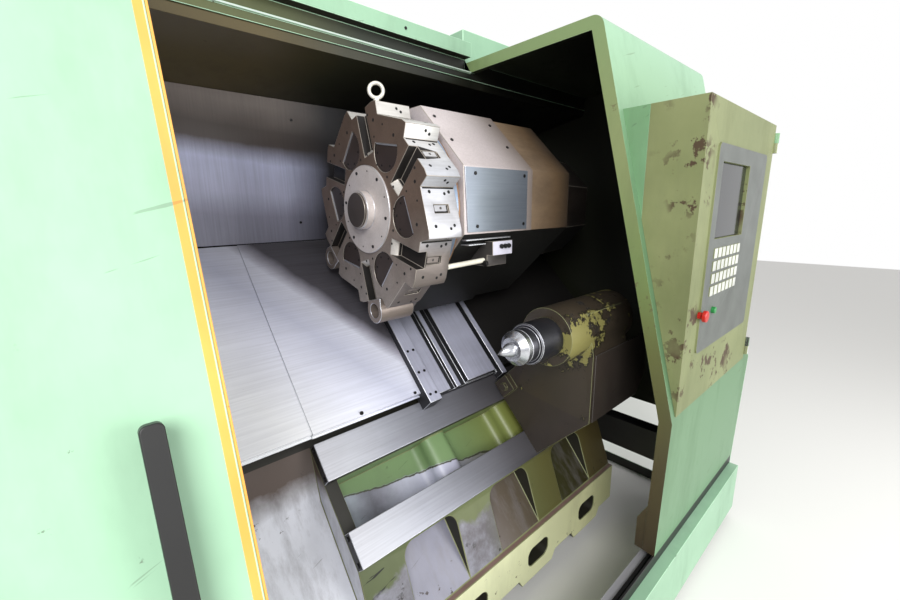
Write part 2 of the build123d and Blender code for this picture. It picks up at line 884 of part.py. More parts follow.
with BuildPart() as turret_rear_cover:
    prism(upright(housing_right), housing_outline(9), 260, radius=4)
    with BuildSketch(upright(housing_right + 260)):
        with Locations(turret_centre):
            RegularPolygon(250, 8, rotation=22.5)
    extrude(amount=300, taper=4)
save(turret_rear_cover.part, "turret_rear_cover")

with BuildPart() as seal_ring:
    rod(rim_back_x + gap, rim_back_x + seal_thickness / 2, turret_centre, seal_radius)
    rod(rim_back_x + seal_thickness / 2, housing_left - gap, turret_centre, seal_radius - 14)
    rod(rim_back_x, housing_left, turret_centre, boss_radius + 3, mode=Mode.SUBTRACT)
save(seal_ring.part, "seal_ring")

# Coolant block under the housing front, with its nozzle pipe
block_left = 530
block_y = turret_y - housing_front + 30
block_z = turret_z + housing_low - 30
with BuildPart() as coolant_block:
    under = turret_y - housing_front + turret_z + housing_low - 2 * gap
    outline = [
        (block_y - 40, block_z - 50),
        (block_y - 12, block_z - 50),
        (block_y - 12, block_z - 90),
        (under - block_z + 90, block_z - 90),
        (under - block_z, block_z),
        (block_y - 40, block_z),
    ]
    prism(upright(block_left), outline, 105)
save(coolant_block.part, "coolant_block")

pipe_start = Vector(disc_front_x + socket_length + 3, turret_y - 252, turret_z - 193)
pipe_end = Vector(block_left, block_y + 2, block_z - 68)
with BuildPart() as coolant_pipe:
    with BuildSketch(Plane(origin=pipe_start, z_dir=pipe_end - pipe_start)):
        RegularPolygon(9, 16)
    extrude(amount=(pipe_end - pipe_start).length - 6 * gap)
save(coolant_pipe.part, "coolant_pipe")


# Turret disc: twelve ground facets in a pinwheel, six grooves and six plug pockets
def station_points(index):
    """Outline of one twelfth of the disc, in front and up from the disc centre."""
    turn = radians(station_turn + 30 * index)
    local = [(facet_distance, facet_low), (facet_distance, facet_high), (lug_distance, lug_side)]
    return [(n * cos(turn) - t * sin(turn), n * sin(turn) + t * cos(turn)) for n, t in local]


def station_plane(index):
    """Plane on a ground facet: local x runs along the spindle."""
    turn = radians(station_turn + 30 * index)
    along = (facet_low + facet_high) / 2
    front = facet_distance * cos(turn) - along * sin(turn)
    up = facet_distance * sin(turn) + along * cos(turn)
    return Plane(
        origin=(disc_front_x + disc_thickness / 2, turret_y - front, turret_z + up),
        x_dir=(1, 0, 0),
        z_dir=(0, -cos(turn), sin(turn)),
    )


def plug_outlines(shrink):
    """Six round outlines, each cut off straight on one side."""
    middle = plug_flat - shrink + plug_radius / 2
    turn = radians(plug_flat_turn)
    with PolarLocations(plug_circle, 6, start_angle=plug_first_turn):
        Circle(plug_radius - shrink)
        with Locations(Location((middle * cos(turn), middle * sin(turn)), plug_flat_turn)):
            Rectangle(plug_radius, 2 * plug_radius, mode=Mode.SUBTRACT)


disc_points = [point for index in range(12) for point in station_points(index)]
groove_length = lug_distance - groove_start + 20
with BuildPart() as turret_disc:
    prism(facing(disc_back_x), disc_points, disc_thickness)
    with BuildSketch(facing(disc_front_x)):
        with PolarLocations(0, 6, start_angle=station_turn + 30):
            with Locations((groove_start + groove_length / 2, -groove_offset)):
                Rectangle(groove_length, groove_width)
    extrude(amount=-groove_depth, mode=Mode.SUBTRACT)
    ramp_edges = turret_disc.edges().filter_by(
        lambda edge: abs(edge.center().X - disc_front_x) < 0.01 and abs(edge.length - groove_width) < 0.01
    )
    chamfer(ramp_edges, groove_ramp)
    with BuildSketch(facing(disc_front_x)):
        plug_outlines(0)
    extrude(amount=-plug_depth, mode=Mode.SUBTRACT)
    for index in range(12):
        with BuildSketch(station_plane(index)):
            Rectangle(key_length, key_width)
        extrude(amount=-key_depth, mode=Mode.SUBTRACT)
    rod(disc_back_x, rim_back_x, turret_centre, rim_radius)
    rod(rim_back_x, rim_back_x + boss_length - boss_end_room, turret_centre, boss_radius)
save(turret_disc.part, "turret_disc")

with BuildPart() as disc_flange:
    with BuildSketch(facing(disc_front_x)):
        Circle(centre_flange_radius)
    extrude(amount=centre_flange_height)
    with BuildSketch(facing(disc_front_x - centre_flange_height)):
        Circle(hub_radius)
    extrude(amount=hub_height)
save(disc_flange.part, "disc_flange")

with BuildPart() as hub_cap:
    with BuildSketch(facing(disc_front_x - centre_flange_height - hub_height)):
        Circle(hub_radius - 6)
    extrude(amount=8)
save(hub_cap.part, "hub_cap")

with BuildPart() as station_plugs:
    with BuildSketch(facing(disc_front_x + plug_depth)):
        plug_outlines(gap)
    extrude(amount=plug_depth - 4)
save(station_plugs.part, "station_plugs")

with BuildPart() as disc_bolts:
    with BuildSketch(facing(disc_front_x - centre_flange_height)):
        with PolarLocations(flange_bolt_circle, 6, start_angle=flange_bolt_turn):
            RegularPolygon(flange_bolt_radius, 6)
    extrude(amount=flange_bolt_height)
save(disc_bolts.part, "disc_bolts")

# Round bar sockets, each on its foot, seated on two of the facets
with BuildPart() as bar_sockets:
    for index in (7, 9):
        turn = station_turn + 30 * index + socket_turn
        middle = (socket_circle * cos(radians(turn)), socket_circle * sin(radians(turn)))
        foot_rise = socket_circle - facet_distance
        with BuildSketch(facing(disc_front_x + socket_length)):
            with Locations(Location(middle, turn)):
                Circle(socket_radius)
                with Locations((-foot_rise / 2, 0)):
                    Rectangle(foot_rise, 84)
                Circle(socket_bore_radius, mode=Mode.SUBTRACT)
        extrude(amount=socket_length)
    prism(facing(disc_back_x), disc_points, disc_thickness, mode=Mode.SUBTRACT)
save(bar_sockets.part, "bar_sockets")

# Lifting eyebolt on the top lug
eye_radius = 22
eye_wire = 6
eye_stem = 10
eye_turn = radians(32)
lug_turn = radians(station_turn + 60)
seat_point = (lug_distance - 3, lug_side + 11)
lug_front = seat_point[0] * cos(lug_turn) - seat_point[1] * sin(lug_turn)
lug_top = lug_distance * sin(lug_turn) + lug_side * cos(lug_turn)
eye_centre = (disc_front_x + 13, turret_y - lug_front, turret_z + lug_top + eye_radius + eye_stem)
with BuildPart() as eyebolt:
    with BuildSketch(Plane(origin=eye_centre, x_dir=(cos(eye_turn), -sin(eye_turn), 0), z_dir=(0, 0, 1))):
        with Locations((eye_radius, 0)):
            RegularPolygon(eye_wire, 8)
    revolve(axis=Axis(eye_centre, (sin(eye_turn), cos(eye_turn), 0)))
    with BuildSketch(Plane(origin=(eye_centre[0], eye_centre[1], turret_z + lug_top + gap))):
        RegularPolygon(9, 16)
    extrude(amount=eye_stem)
save(eyebolt.part, "eyebolt")

# Tailstock casting on the two guideways
with BuildPart() as tailstock:
    outline = [
        slope_point(tail_low_reach, -way_depth + gap),
        slope_point(tail_low_reach, -way_depth + 330),
        (tail_front_y, spindle_height - 78),
        (spindle_y - 83, spindle_height + 75),
        (spindle_y, spindle_height + barrel_radius),
        (spindle_y + barrel_radius, spindle_height + 20),
        slope_point(tail_high_reach, -260),
        slope_point(tail_high_reach, -way_depth + gap),
    ]
    prism(upright(tail_left), outline, tail_right - tail_left)
    clamp = rectangle(-60, 14, -way_depth + 30, -way_depth + 110)
    prism(across(tail_left - 26), clamp, 26, radius=8)
    with BuildSketch(across(tail_left - 40)):
        with Locations((-24, -way_depth + 70)):
            RegularPolygon(19, 6)
    extrude(amount=14)
    rod(barrel_left, tail_right + 60, spindle_centre, barrel_radius)
    rod(barrel_left, quill_right + 130, spindle_centre, quill_radius + running, mode=Mode.SUBTRACT)
save(tailstock.part, "tailstock")

# Guard plate on the tailstock front and wipers on its foot
with BuildPart() as tailstock_guards:
    left, right = tail_left + 10, tail_right + 190
    guard_points = [
        (left, guard_low_z),
        (right - 70, guard_low_z),
        (right, guard_low_z + 70),
        (right, guard_high_z),
        (left, guard_high_z),
    ]
    guard_face = Plane(origin=(0, tail_front_y - gap, 0), x_dir=(1, 0, 0), z_dir=(0, -1, 0))
    with BuildSketch(guard_face):
        with BuildLine():
            FilletPolyline(*guard_points, radius=[0, 30, 30, 0, 0], close=True)
        make_face()
    extrude(amount=6)
save(tailstock_guards.part, "tailstock_guards")

# Quill with the fixed shell of the live centre
with BuildPart() as quill:
    turned(
        [
            (centre_split_x, 0),
            (centre_split_x, centre_radius - 3),
            (centre_split_x + 3, centre_radius),
            (quill_left, centre_radius),
            (quill_left, quill_radius - 4),
            (quill_left + 4, quill_radius),
            (quill_right, quill_radius),
            (quill_right, 0),
        ]
    )
save(quill.part, "quill")

with BuildPart() as live_centre:
    turned(
        [
            (centre_tip_x, 0),
            (centre_tip_x + 59, 24),
            (centre_tip_x + 70, 24),
            (centre_tip_x + 70, 40),
            (centre_tip_x + 90, centre_radius),
            (centre_split_x - gap, centre_radius),
            (centre_split_x - gap, 0),
        ]
    )
save(live_centre.part, "live_centre")

# Spindle with its nose flange
with BuildPart() as spindle:
    rod(spindle_tail, chuck_left, spindle_centre, spindle_radius)
    rod(chuck_left - 25, chuck_left, spindle_centre, 125)
    rod(spindle_tail, chuck_left, spindle_centre, bar_bore_radius + 2, mode=Mode.SUBTRACT)
save(spindle.part, "spindle")

# Three-jaw chuck
chuck_face = Plane(origin=(chuck_right, spindle_y, spindle_height), x_dir=(0, 1, 0), z_dir=(1, 0, 0))
with BuildPart() as chuck_body:
    rod(chuck_left, chuck_right, spindle_centre, chuck_radius)
    rod(chuck_left, chuck_right, spindle_centre, bar_bore_radius, mode=Mode.SUBTRACT)
    for index in range(3):
        turn = radians(90 + 120 * index)
        with BuildSketch(chuck_face):
            with Locations(Location((130 * cos(turn), 130 * sin(turn)), 90 + 120 * index)):
                Rectangle(160, jaw_width)
        extrude(amount=-jaw_depth, mode=Mode.SUBTRACT)
save(chuck_body.part, "chuck_body")

for index in range(3):
    turn = radians(90 + 120 * index)
    with BuildPart() as chuck_jaw:
        with BuildSketch(chuck_face.offset(-jaw_depth + gap)):
            with Locations(Location((128 * cos(turn), 128 * sin(turn)), 90 + 120 * index)):
                Rectangle(116, jaw_width - 2 * gap)
        extrude(amount=jaw_depth)
        with BuildSketch(chuck_face.offset(gap)):
            with Locations(Location((118 * cos(turn), 118 * sin(turn)), 90 + 120 * index)):
                Rectangle(96, jaw_width + 10)
        extrude(amount=jaw_step - gap)
    save(chuck_jaw.part, f"chuck_jaw_{index + 1}")

# Sliding door, standing open to the left
door_left = door_left_room - half_length
door_width = opening_left - edge_strip - door_left
door_path = opening_path[:3] + ((top_rail_y - gap, opening_path[3][1]),)
window_middle_z = (window_low_z + window_high_z) / 2
window_height = (window_high_z - window_low_z) / sin(slope_angle)
window_x = door_left + door_width / 2
with BuildPart() as sliding_door:
    prism(
        upright(door_left),
        folded(door_path, -door_inside, door_outside),
        door_width,
        radius=fold_radii(door_path, -door_inside, door_outside),
    )
    with BuildSketch(slope_plane(window_x, window_middle_z, door_outside)):
        RectangleRounded(window_width, window_height, 40)
    extrude(amount=-door_inside - door_outside, mode=Mode.SUBTRACT)
save(sliding_door.part, "sliding_door")

with BuildPart() as door_window:
    with BuildSketch(slope_plane(window_x, window_middle_z, -8)):
        RectangleRounded(window_width - 2 * gap, window_height - 2 * gap, 40 - gap)
    extrude(amount=glass)
save(door_window.part, "door_window")

with BuildPart() as door_edge_strip:
    prism(
        upright(opening_left - edge_strip),
        folded(door_path, -door_inside, door_outside),
        edge_strip,
        radius=fold_radii(door_path, -door_inside, door_outside),
    )
save(door_edge_strip.part, "door_edge_strip")

# Door handle
handle_x = opening_left - 85
with BuildPart() as door_handle:
    with BuildSketch(slope_plane(handle_x, handle_z, door_outside)):
        with GridLocations(0, handle_length - 60, 1, 2):
            Rectangle(handle_post, handle_post)
    extrude(amount=handle_rise)
    with BuildSketch(slope_plane(handle_x, handle_z, door_outside + handle_rise - handle_post)):
        RectangleRounded(handle_width, handle_length, 8)
    extrude(amount=handle_post)
save(door_handle.part, "door_handle")
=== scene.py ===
"""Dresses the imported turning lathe: paint, ground steel, small fittings, stage and camera."""

import json
import math

import bmesh
import bpy
from mathutils import Matrix, Vector

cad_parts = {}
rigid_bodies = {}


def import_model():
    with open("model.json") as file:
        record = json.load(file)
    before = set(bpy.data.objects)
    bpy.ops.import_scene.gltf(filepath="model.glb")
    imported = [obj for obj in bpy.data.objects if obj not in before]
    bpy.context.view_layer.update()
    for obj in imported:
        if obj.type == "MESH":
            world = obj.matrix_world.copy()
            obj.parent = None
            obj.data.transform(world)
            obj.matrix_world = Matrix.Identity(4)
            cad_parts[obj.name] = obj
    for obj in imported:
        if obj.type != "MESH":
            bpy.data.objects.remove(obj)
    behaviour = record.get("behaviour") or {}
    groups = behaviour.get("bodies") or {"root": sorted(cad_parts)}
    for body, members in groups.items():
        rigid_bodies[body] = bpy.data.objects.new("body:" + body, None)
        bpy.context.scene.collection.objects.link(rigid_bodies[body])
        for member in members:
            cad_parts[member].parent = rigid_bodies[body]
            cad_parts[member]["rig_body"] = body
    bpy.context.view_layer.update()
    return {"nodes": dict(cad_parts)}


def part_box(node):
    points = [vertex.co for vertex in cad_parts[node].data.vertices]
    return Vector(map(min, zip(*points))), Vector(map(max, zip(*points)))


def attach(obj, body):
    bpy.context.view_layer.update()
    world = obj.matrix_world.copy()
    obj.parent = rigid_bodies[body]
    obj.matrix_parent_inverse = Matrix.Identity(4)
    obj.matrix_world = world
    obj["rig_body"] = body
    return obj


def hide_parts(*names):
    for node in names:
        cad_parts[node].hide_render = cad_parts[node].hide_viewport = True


bl_info = {
    "name": "Turning lathe dressing",
    "version": (1, 0, 0),
    "blender": (4, 5, 0),
    "location": "3D View > Sidebar > Lathe",
    "description": "Adds paint, wear, fittings, a stage and a camera to a packed turning lathe",
    "category": "Object",
}

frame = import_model()
NODES = frame["nodes"]
BODY_OF = {node: obj["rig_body"] for node, obj in NODES.items()}

# Lines the CAD model is built on, in metres
SPINDLE = Vector((0, -0.492, 1.150))
UPHILL = Vector((0, math.sqrt(0.5), math.sqrt(0.5)))
OUTWARD = Vector((0, -math.sqrt(0.5), math.sqrt(0.5)))
UPHILL_AT_SPINDLE = SPINDLE.dot(UPHILL)
TURRET = SPINDLE + UPHILL * 0.6492
DISC_FRONT = 0.225
DISC_BACK = 0.359
FACET = 0.312
INSIDE = Vector((0.3, 0.0, 1.2))

# Fitted to the photo: the place in metres, and yaw, pitch and roll in degrees
CAMERA_PLACE = (-0.55, -1.325, 1.611)
CAMERA_ANGLES = (41.90, 12.54, -0.92)

RIGHT = (1, 0, 0)
LEFT = (-1, 0, 0)
FORWARD = (0, -1, 0)
UP = (0, 0, 1)

# How a grain or a cloud is stretched
EVEN = (1, 1, 1)
LENGTHWISE = (0.02, 1, 1)

# Share of a direction that a face's normal has when the face looks straight or mostly that way
STRAIGHT = 0.9
MOSTLY = 0.5

SHARP_ANGLE = math.radians(35)
BEVEL_ANGLE = math.radians(32)
FLAT_ANGLE = math.radians(0.6)
WELD_DISTANCE = 2e-5


def srgb(red, green, blue):
    """A colour given as 0 to 255 on screen, as Blender's linear colour."""
    def linear(value):
        value /= 255
        return value / 12.92 if value <= 0.04045 else ((value + 0.055) / 1.055) ** 2.4
    return (linear(red), linear(green), linear(blue), 1.0)


def tint(colour):
    """Linear colour for a paint setting's name or for 0 to 255 on screen. Outputs and linear ones stay."""
    if isinstance(colour, str):
        return tuple(getattr(bpy.context.scene.lathe_paint, colour))
    if isinstance(colour, bpy.types.NodeSocket) or len(colour) == 4:
        return colour
    return srgb(*colour)


class LATHE_PG_paint(bpy.types.PropertyGroup):
    """Colours of the painted pieces."""
    mint: bpy.props.FloatVectorProperty(
        name="Mint", description="Paint of the enclosure", subtype="COLOR", size=4,
        default=srgb(150, 187, 158), min=0, max=1)
    lip: bpy.props.FloatVectorProperty(
        name="Frame lip", description="Paint inside the opening", subtype="COLOR", size=4,
        default=srgb(126, 136, 92), min=0, max=1)
    casting: bpy.props.FloatVectorProperty(
        name="Casting", description="Paint of the bed casting", subtype="COLOR", size=4,
        default=srgb(138, 146, 92), min=0, max=1)
    primer: bpy.props.FloatVectorProperty(
        name="Primer", description="Primer that shows where paint has chipped", subtype="COLOR", size=4,
        default=srgb(52, 42, 34), min=0, max=1)
    cabinet: bpy.props.FloatVectorProperty(
        name="Cabinet", description="Paint of the control cabinet", subtype="COLOR", size=4,
        default=srgb(124, 130, 88), min=0, max=1)


class LATHE_PG_fittings(bpy.types.PropertyGroup):
    """Size of the small screws."""
    screw_radius: bpy.props.FloatProperty(
        name="Screw radius", description="Head radius of the cover screws", default=0.0055,
        min=0.001, max=0.02, subtype="DISTANCE", unit="LENGTH")


class LATHE_PG_stage(bpy.types.PropertyGroup):
    """Light, floor and camera."""
    sky: bpy.props.FloatProperty(
        name="Sky", description="Strength of the even light all around", default=0.75, min=0, max=3)
    key_power: bpy.props.FloatProperty(
        name="Key power", description="Power of the large soft lamp in front", default=260.0, min=0, max=5000)
    lens: bpy.props.FloatProperty(
        name="Lens", description="Focal length for a 36 mm sensor", default=16.52, min=5, max=200)


# Procedural finishes
class Look:
    """A Principled finish whose patterns are laid over each other on the piece's own coordinates."""

    def __init__(self, name, roughness=0.5, metallic=0.0):
        self.material = bpy.data.materials.new(name)
        self.material.use_nodes = True
        self.tree = self.material.node_tree
        self.shader = self.tree.nodes["Principled BSDF"]
        self.shader.inputs["Roughness"].default_value = roughness
        self.shader.inputs["Metallic"].default_value = metallic
        coordinates = self.node("ShaderNodeTexCoord")
        self.place = coordinates.outputs["Object"]
        self.normal = coordinates.outputs["Normal"]

    def node(self, kind, inputs={}, **settings):
        """Adds a node with its settings, and feeds its inputs, given by name or number."""
        made = self.tree.nodes.new(kind)
        for key, value in settings.items():
            setattr(made, key, value)
        for key, value in inputs.items():
            self.feed(made.inputs[key], value)
        return made

    def feed(self, socket, value):
        """Links a socket to an output, or sets it."""
        if isinstance(value, bpy.types.NodeSocket):
            self.tree.links.new(value, socket)
        else:
            socket.default_value = value

    def noise(self, scale, detail, roughness=0.55, squeeze=EVEN, turn=(0, 0, 0)):
        """Cloudy pattern from 0 to 1, turned and then squeezed along each axis."""
        turned = self.node("ShaderNodeMapping", {"Vector": self.place, "Rotation": turn})
        squeezed = self.node("ShaderNodeMapping", {"Vector": turned.outputs[0], "Scale": squeeze})
        settings = {"Vector": squeezed.outputs[0], "Scale": scale, "Detail": detail, "Roughness": roughness}
        return self.node("ShaderNodeTexNoise", settings).outputs["Fac"]

    def ramp(self, value, low, high):
        """0 below low, 1 above high."""
        limits = {"Value": value, "From Min": low, "From Max": high}
        return self.node("ShaderNodeMapRange", limits, clamp=True).outputs["Result"]

    def math(self, operation, first, second):
        return self.node("ShaderNodeMath", {0: first, 1: second}, operation=operation).outputs[0]

    def times(self, first, second):
        return self.math("MULTIPLY", first, second)

    def mix(self, amount, first, second):
        """Colour between two others."""
        return self.blend(amount, tint(first), tint(second), "RGBA")

    def blend(self, amount, first, second, kind="FLOAT"):
        """Number between two others."""
        inputs = {"Factor": amount, "A": first, "B": second}
        return self.node("ShaderNodeMix", inputs, data_type=kind).outputs["Result"]

    def bands(self, value, stops):
        """Colours laid along a value, given as value and colour in rising order."""
        low, high = stops[0][0], stops[-1][0]
        made = self.node("ShaderNodeValToRGB", {"Fac": self.ramp(value, low, high)})
        ends = made.color_ramp.elements
        ends[0].color = tint(stops[0][1])
        ends[1].color = tint(stops[-1][1])
        for place, colour in stops[1:-1]:
            ends.new((place - low) / (high - low)).color = tint(colour)
        return made.outputs["Color"]

    def wavering(self, direction, scale, spread):
        """Distance along a direction, made ragged by a cloud."""
        cloud = self.times(self.math("SUBTRACT", self.noise(scale, 7, 0.65), 0.5), 2 * spread)
        return self.math("ADD", self.along(direction), cloud)

    def along(self, direction):
        """Distance of a point along a direction."""
        return self.vector("DOT_PRODUCT", self.place, direction).outputs["Value"]

    def vector(self, operation, first, second):
        return self.node("ShaderNodeVectorMath", {0: first, 1: second}, operation=operation)

    def facing_in(self):
        """1 where the surface faces the middle of the machine."""
        toward = self.vector("SUBTRACT", INSIDE, self.place).outputs[0]
        dot = self.vector("DOT_PRODUCT", toward, self.normal)
        return self.ramp(dot.outputs["Value"], -0.02, 0.02)

    def bump(self, height, strength, distance):
        made = self.node("ShaderNodeBump", {"Height": height, "Strength": strength, "Distance": distance})
        self.feed(self.shader.inputs["Normal"], made.outputs["Normal"])

    def done(self, colour, roughness=None):
        self.feed(self.shader.inputs["Base Color"], tint(colour))
        if roughness is not None:
            self.feed(self.shader.inputs["Roughness"], roughness)
        return self.material


def plain(name, colour, roughness=0.5, metallic=0.0):
    """One even colour with a faint cloud of dust."""
    look = Look(name, roughness, metallic)
    clean = srgb(*colour)
    dusty = tuple(channel * 0.7 for channel in clean[:3]) + (1.0,)
    return look.done(look.mix(look.ramp(look.noise(9, 3), 0.35, 0.75), clean, dusty))


def clouded(look, colour, shade):
    """A colour with large clouds of its shade."""
    return look.mix(look.ramp(look.noise(1.7, 5, 0.6), 0.38, 0.72), colour, shade)


def paint(name, colour, shade, primer, chips, patches, grime, roughness=0.42, speck=26, inside=None):
    """Sprayed paint, dirty in clouds and chipped to the primer in patches."""
    look = Look(name, roughness)
    tone = clouded(look, colour, shade)
    return chipped(look, tone, primer, chips, patches, grime, roughness, speck, inside)


def banded_paint(name, direction, stops, primer, chips, patches, grime, roughness=0.42, spread=0.06):
    """Paint whose tone changes along a direction."""
    look = Look(name, roughness)
    tone = look.bands(look.wavering(direction, 2.5, spread), stops)
    return chipped(look, tone, primer, chips, patches, grime, roughness)


def chipped(look, tone, primer, chips, patches, grime, roughness, speck=26, inside=None):
    """Lays grime, chips, scratches and grain over a coat of paint, and paints a given inside tone as shade on
    faces that look into the machine.
    """
    smear = look.ramp(look.noise(5, 6, 0.65, (1, 1, 0.25)), 0.5, 0.8)
    tone = look.mix(look.times(smear, grime), tone, (52, 50, 38))
    patch = look.ramp(look.noise(2.6, 4, 0.6), patches, patches + 0.08)
    chip = look.times(look.ramp(look.noise(speck, 8, 0.7), chips, chips + 0.02), patch)
    scratch = look.ramp(look.noise(14, 3, 0.5, (0.35, 1, 6), (0.5, 0.3, 0.2)), 0.72, 0.735)
    worn = look.math("MAXIMUM", chip, look.times(scratch, 0.3))
    tone = look.mix(worn, tone, primer)
    rough = look.blend(worn, look.blend(smear, roughness, roughness + 0.2), 0.75)
    # Faces that look into the machine take the inside tone as painted shade.
    if inside is not None:
        tone = look.mix(look.facing_in(), tone, inside)
    look.bump(look.math("SUBTRACT", look.noise(60, 3), look.times(worn, 2.5)), 0.12, 0.001)
    return look.done(tone, rough)


def ground(name, light, dark, grain, dirt, dirt_scale, roughness, metallic):
    """Ground or brushed steel: fine lines one way, with oily clouds and stains."""
    return brushed(Look(name, roughness, metallic), light, dark, grain, dirt, dirt_scale, roughness)


def banded_steel(name, direction, stops, dark, grain, dirt, dirt_scale, roughness, metallic, spread):
    """Steel sheet or ground steel whose tone changes along a direction."""
    look = Look(name, roughness, metallic)
    tone = look.bands(look.wavering(direction, 2.0, spread), stops)
    return brushed(look, tone, dark, grain, dirt, dirt_scale, roughness)


def brushed(look, light, dark, grain, dirt, dirt_scale, roughness):
    """Lays grain, oily clouds and spots over a tone."""
    lines = look.noise(160, 2, 0.5, grain)
    stain = look.ramp(look.noise(dirt_scale, 6, 0.62, (0.5, 1, 1)), 0.42, 0.80)
    tone = look.mix(look.times(look.ramp(lines, 0.3, 0.7), 0.16), light, dark)
    tone = look.mix(look.times(stain, dirt), tone, dark)
    spots = look.ramp(look.noise(70, 5, 0.7), 0.68, 0.72)
    tone = look.mix(look.times(spots, 0.5 * dirt), tone, dark)
    look.bump(lines, 0.05, 0.0004)
    return look.done(tone, look.blend(stain, roughness, roughness + 0.25))


def bed_front(name):
    """Sloped web of the bed: green paint at the top, rubbed to bare grey low down on the left."""
    look = Look(name, 0.45)
    x = look.along(RIGHT)
    green = look.bands(x, (
        (0.0, (90, 99, 65)), (0.55, (104, 111, 74)), (0.85, (94, 92, 52)), (1.25, (78, 68, 36))))
    bare = look.mix(look.ramp(look.noise(6, 6, 0.7), 0.4, 0.6), (142, 142, 152), (100, 96, 100))
    marks = look.ramp(look.noise(11, 3, 0.55, (0.45, 1, 3.6), (0, 0.15, 0)), 0.585, 0.60)
    green = look.mix(look.times(marks, look.ramp(x, 0.16, 0.10)), green, (22, 24, 16))
    low_down = look.ramp(look.wavering((0, 0, -1), 5, 0.12), -0.47, -0.44)
    rubbed = look.times(low_down, look.ramp(x, 0.75, 0.45))
    return chipped(look, look.mix(rubbed, green, bare), (38, 36, 26), 0.60, 0.50, 0.3, 0.45, 22)


def bed_chutes(name):
    """Floors of the chip chutes, rubbed bare on the left, with painted shade deepening to the right and a
    painted shadow high up.
    """
    look = Look(name, 0.38)
    # The tones darken to the right as painted shade.
    tone = look.bands(look.wavering(RIGHT, 4, 0.06), (
        (-0.60, (246, 248, 252)), (-0.10, (236, 238, 247)), (0.08, (136, 136, 150)), (0.34, (126, 126, 141)),
        (0.48, (92, 82, 78)), (0.62, (88, 78, 66)), (0.84, (74, 66, 50)), (0.93, (58, 57, 32)),
        (1.2, (50, 46, 24))))
    streaks = look.ramp(look.noise(9, 7, 0.7, (2.5, 1, 0.5)), 0.45, 0.7)
    tone = look.mix(look.times(streaks, 0.45), tone, (120, 116, 118))
    shadow = look.ramp(look.wavering(UP, 5, 0.05), 0.665, 0.74)
    return chipped(look, look.mix(shadow, tone, (92, 78, 70)), (70, 62, 58), 0.64, 0.5, 0.15, 0.4)


def bed_trough(name):
    """Trough between the guideways: green above a ragged edge, bare lilac grey below it."""
    look = Look(name, 0.4)
    reach = look.wavering(tuple(UPHILL + Vector((0.16, 0, 0))), 5, 0.030)
    green = look.mix(look.ramp(look.along(RIGHT), 0.5, 0.9), (112, 138, 94), (118, 120, 54))
    bare = look.bands(look.wavering(RIGHT, 6, 0.08), (
        (0.0, (176, 184, 196)), (0.12, (112, 112, 122)), (0.25, (196, 198, 214)),
        (0.45, (176, 176, 194)), (0.7, (120, 120, 104)), (1.2, (96, 92, 60))))
    edge = -0.109 + UPHILL_AT_SPINDLE
    tone = look.mix(look.ramp(reach, edge, edge + 0.004), bare, green)
    rim = look.times(look.ramp(reach, edge - 0.006, edge - 0.003), look.ramp(reach, edge + 0.003, edge))
    return chipped(look, look.mix(rim, tone, (60, 62, 40)), (44, 44, 30), 0.62, 0.5, 0.2, 0.4, 34)


def back_wall(name):
    """Sheet at the back: brown under the roof, a pale blue painted reflection below, painted shade behind the
    turret.
    """
    look = Look(name, 0.42, 0.15)
    # The pale blue band is a painted reflection of a window.
    tone = look.bands(look.wavering((-0.05, 0, -1), 2.0, 0.03), (
        (-2.02, (118, 108, 102)), (-1.93, (66, 56, 50)), (-1.875, (70, 61, 58)), (-1.80, (192, 196, 224)),
        (-1.68, (182, 184, 208)), (-1.59, (138, 138, 156)), (-1.46, (120, 120, 134))))
    # Painted shade on the wall behind the turret.
    shade_behind_turret = look.ramp(look.wavering(RIGHT, 2.5, 0.05), 0.14, 0.36)
    tone = look.mix(shade_behind_turret, tone, (30, 28, 31))
    return brushed(look, tone, (36, 32, 32), (1, 1, 0.03), 0.3, 1.3, 0.42)


def tail_paint(name):
    """Greasy dark body of the tailstock, with the old mustard green showing through near its nose."""
    look = Look(name, 0.45)
    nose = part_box("tailstock")[0].x
    tone = clouded(look, (58, 50, 39), (38, 33, 27))
    level = look.along(UP)
    at_nose = look.times(
        look.ramp(look.along(RIGHT), nose + 0.26, nose + 0.12),
        look.times(look.ramp(level, 0.90, 1.0), look.ramp(level, 1.26, 1.19)))
    cloud = look.math("ADD", look.noise(6, 8, 0.68), look.times(at_nose, 0.095))
    rim = look.times(look.ramp(cloud, 0.58, 0.595), look.ramp(cloud, 0.62, 0.605))
    tone = look.mix(look.ramp(cloud, 0.605, 0.62), tone, (124, 119, 70))
    tone = look.mix(rim, tone, (24, 20, 16))
    return chipped(look, tone, (28, 24, 19), 0.6, 0.5, 0.4, 0.45, 20)


def window_glass(name):
    look = Look(name, 0.06)
    look.shader.inputs["Transmission Weight"].default_value = 0.85
    look.shader.inputs["IOR"].default_value = 1.45
    return look.done((206, 220, 214))


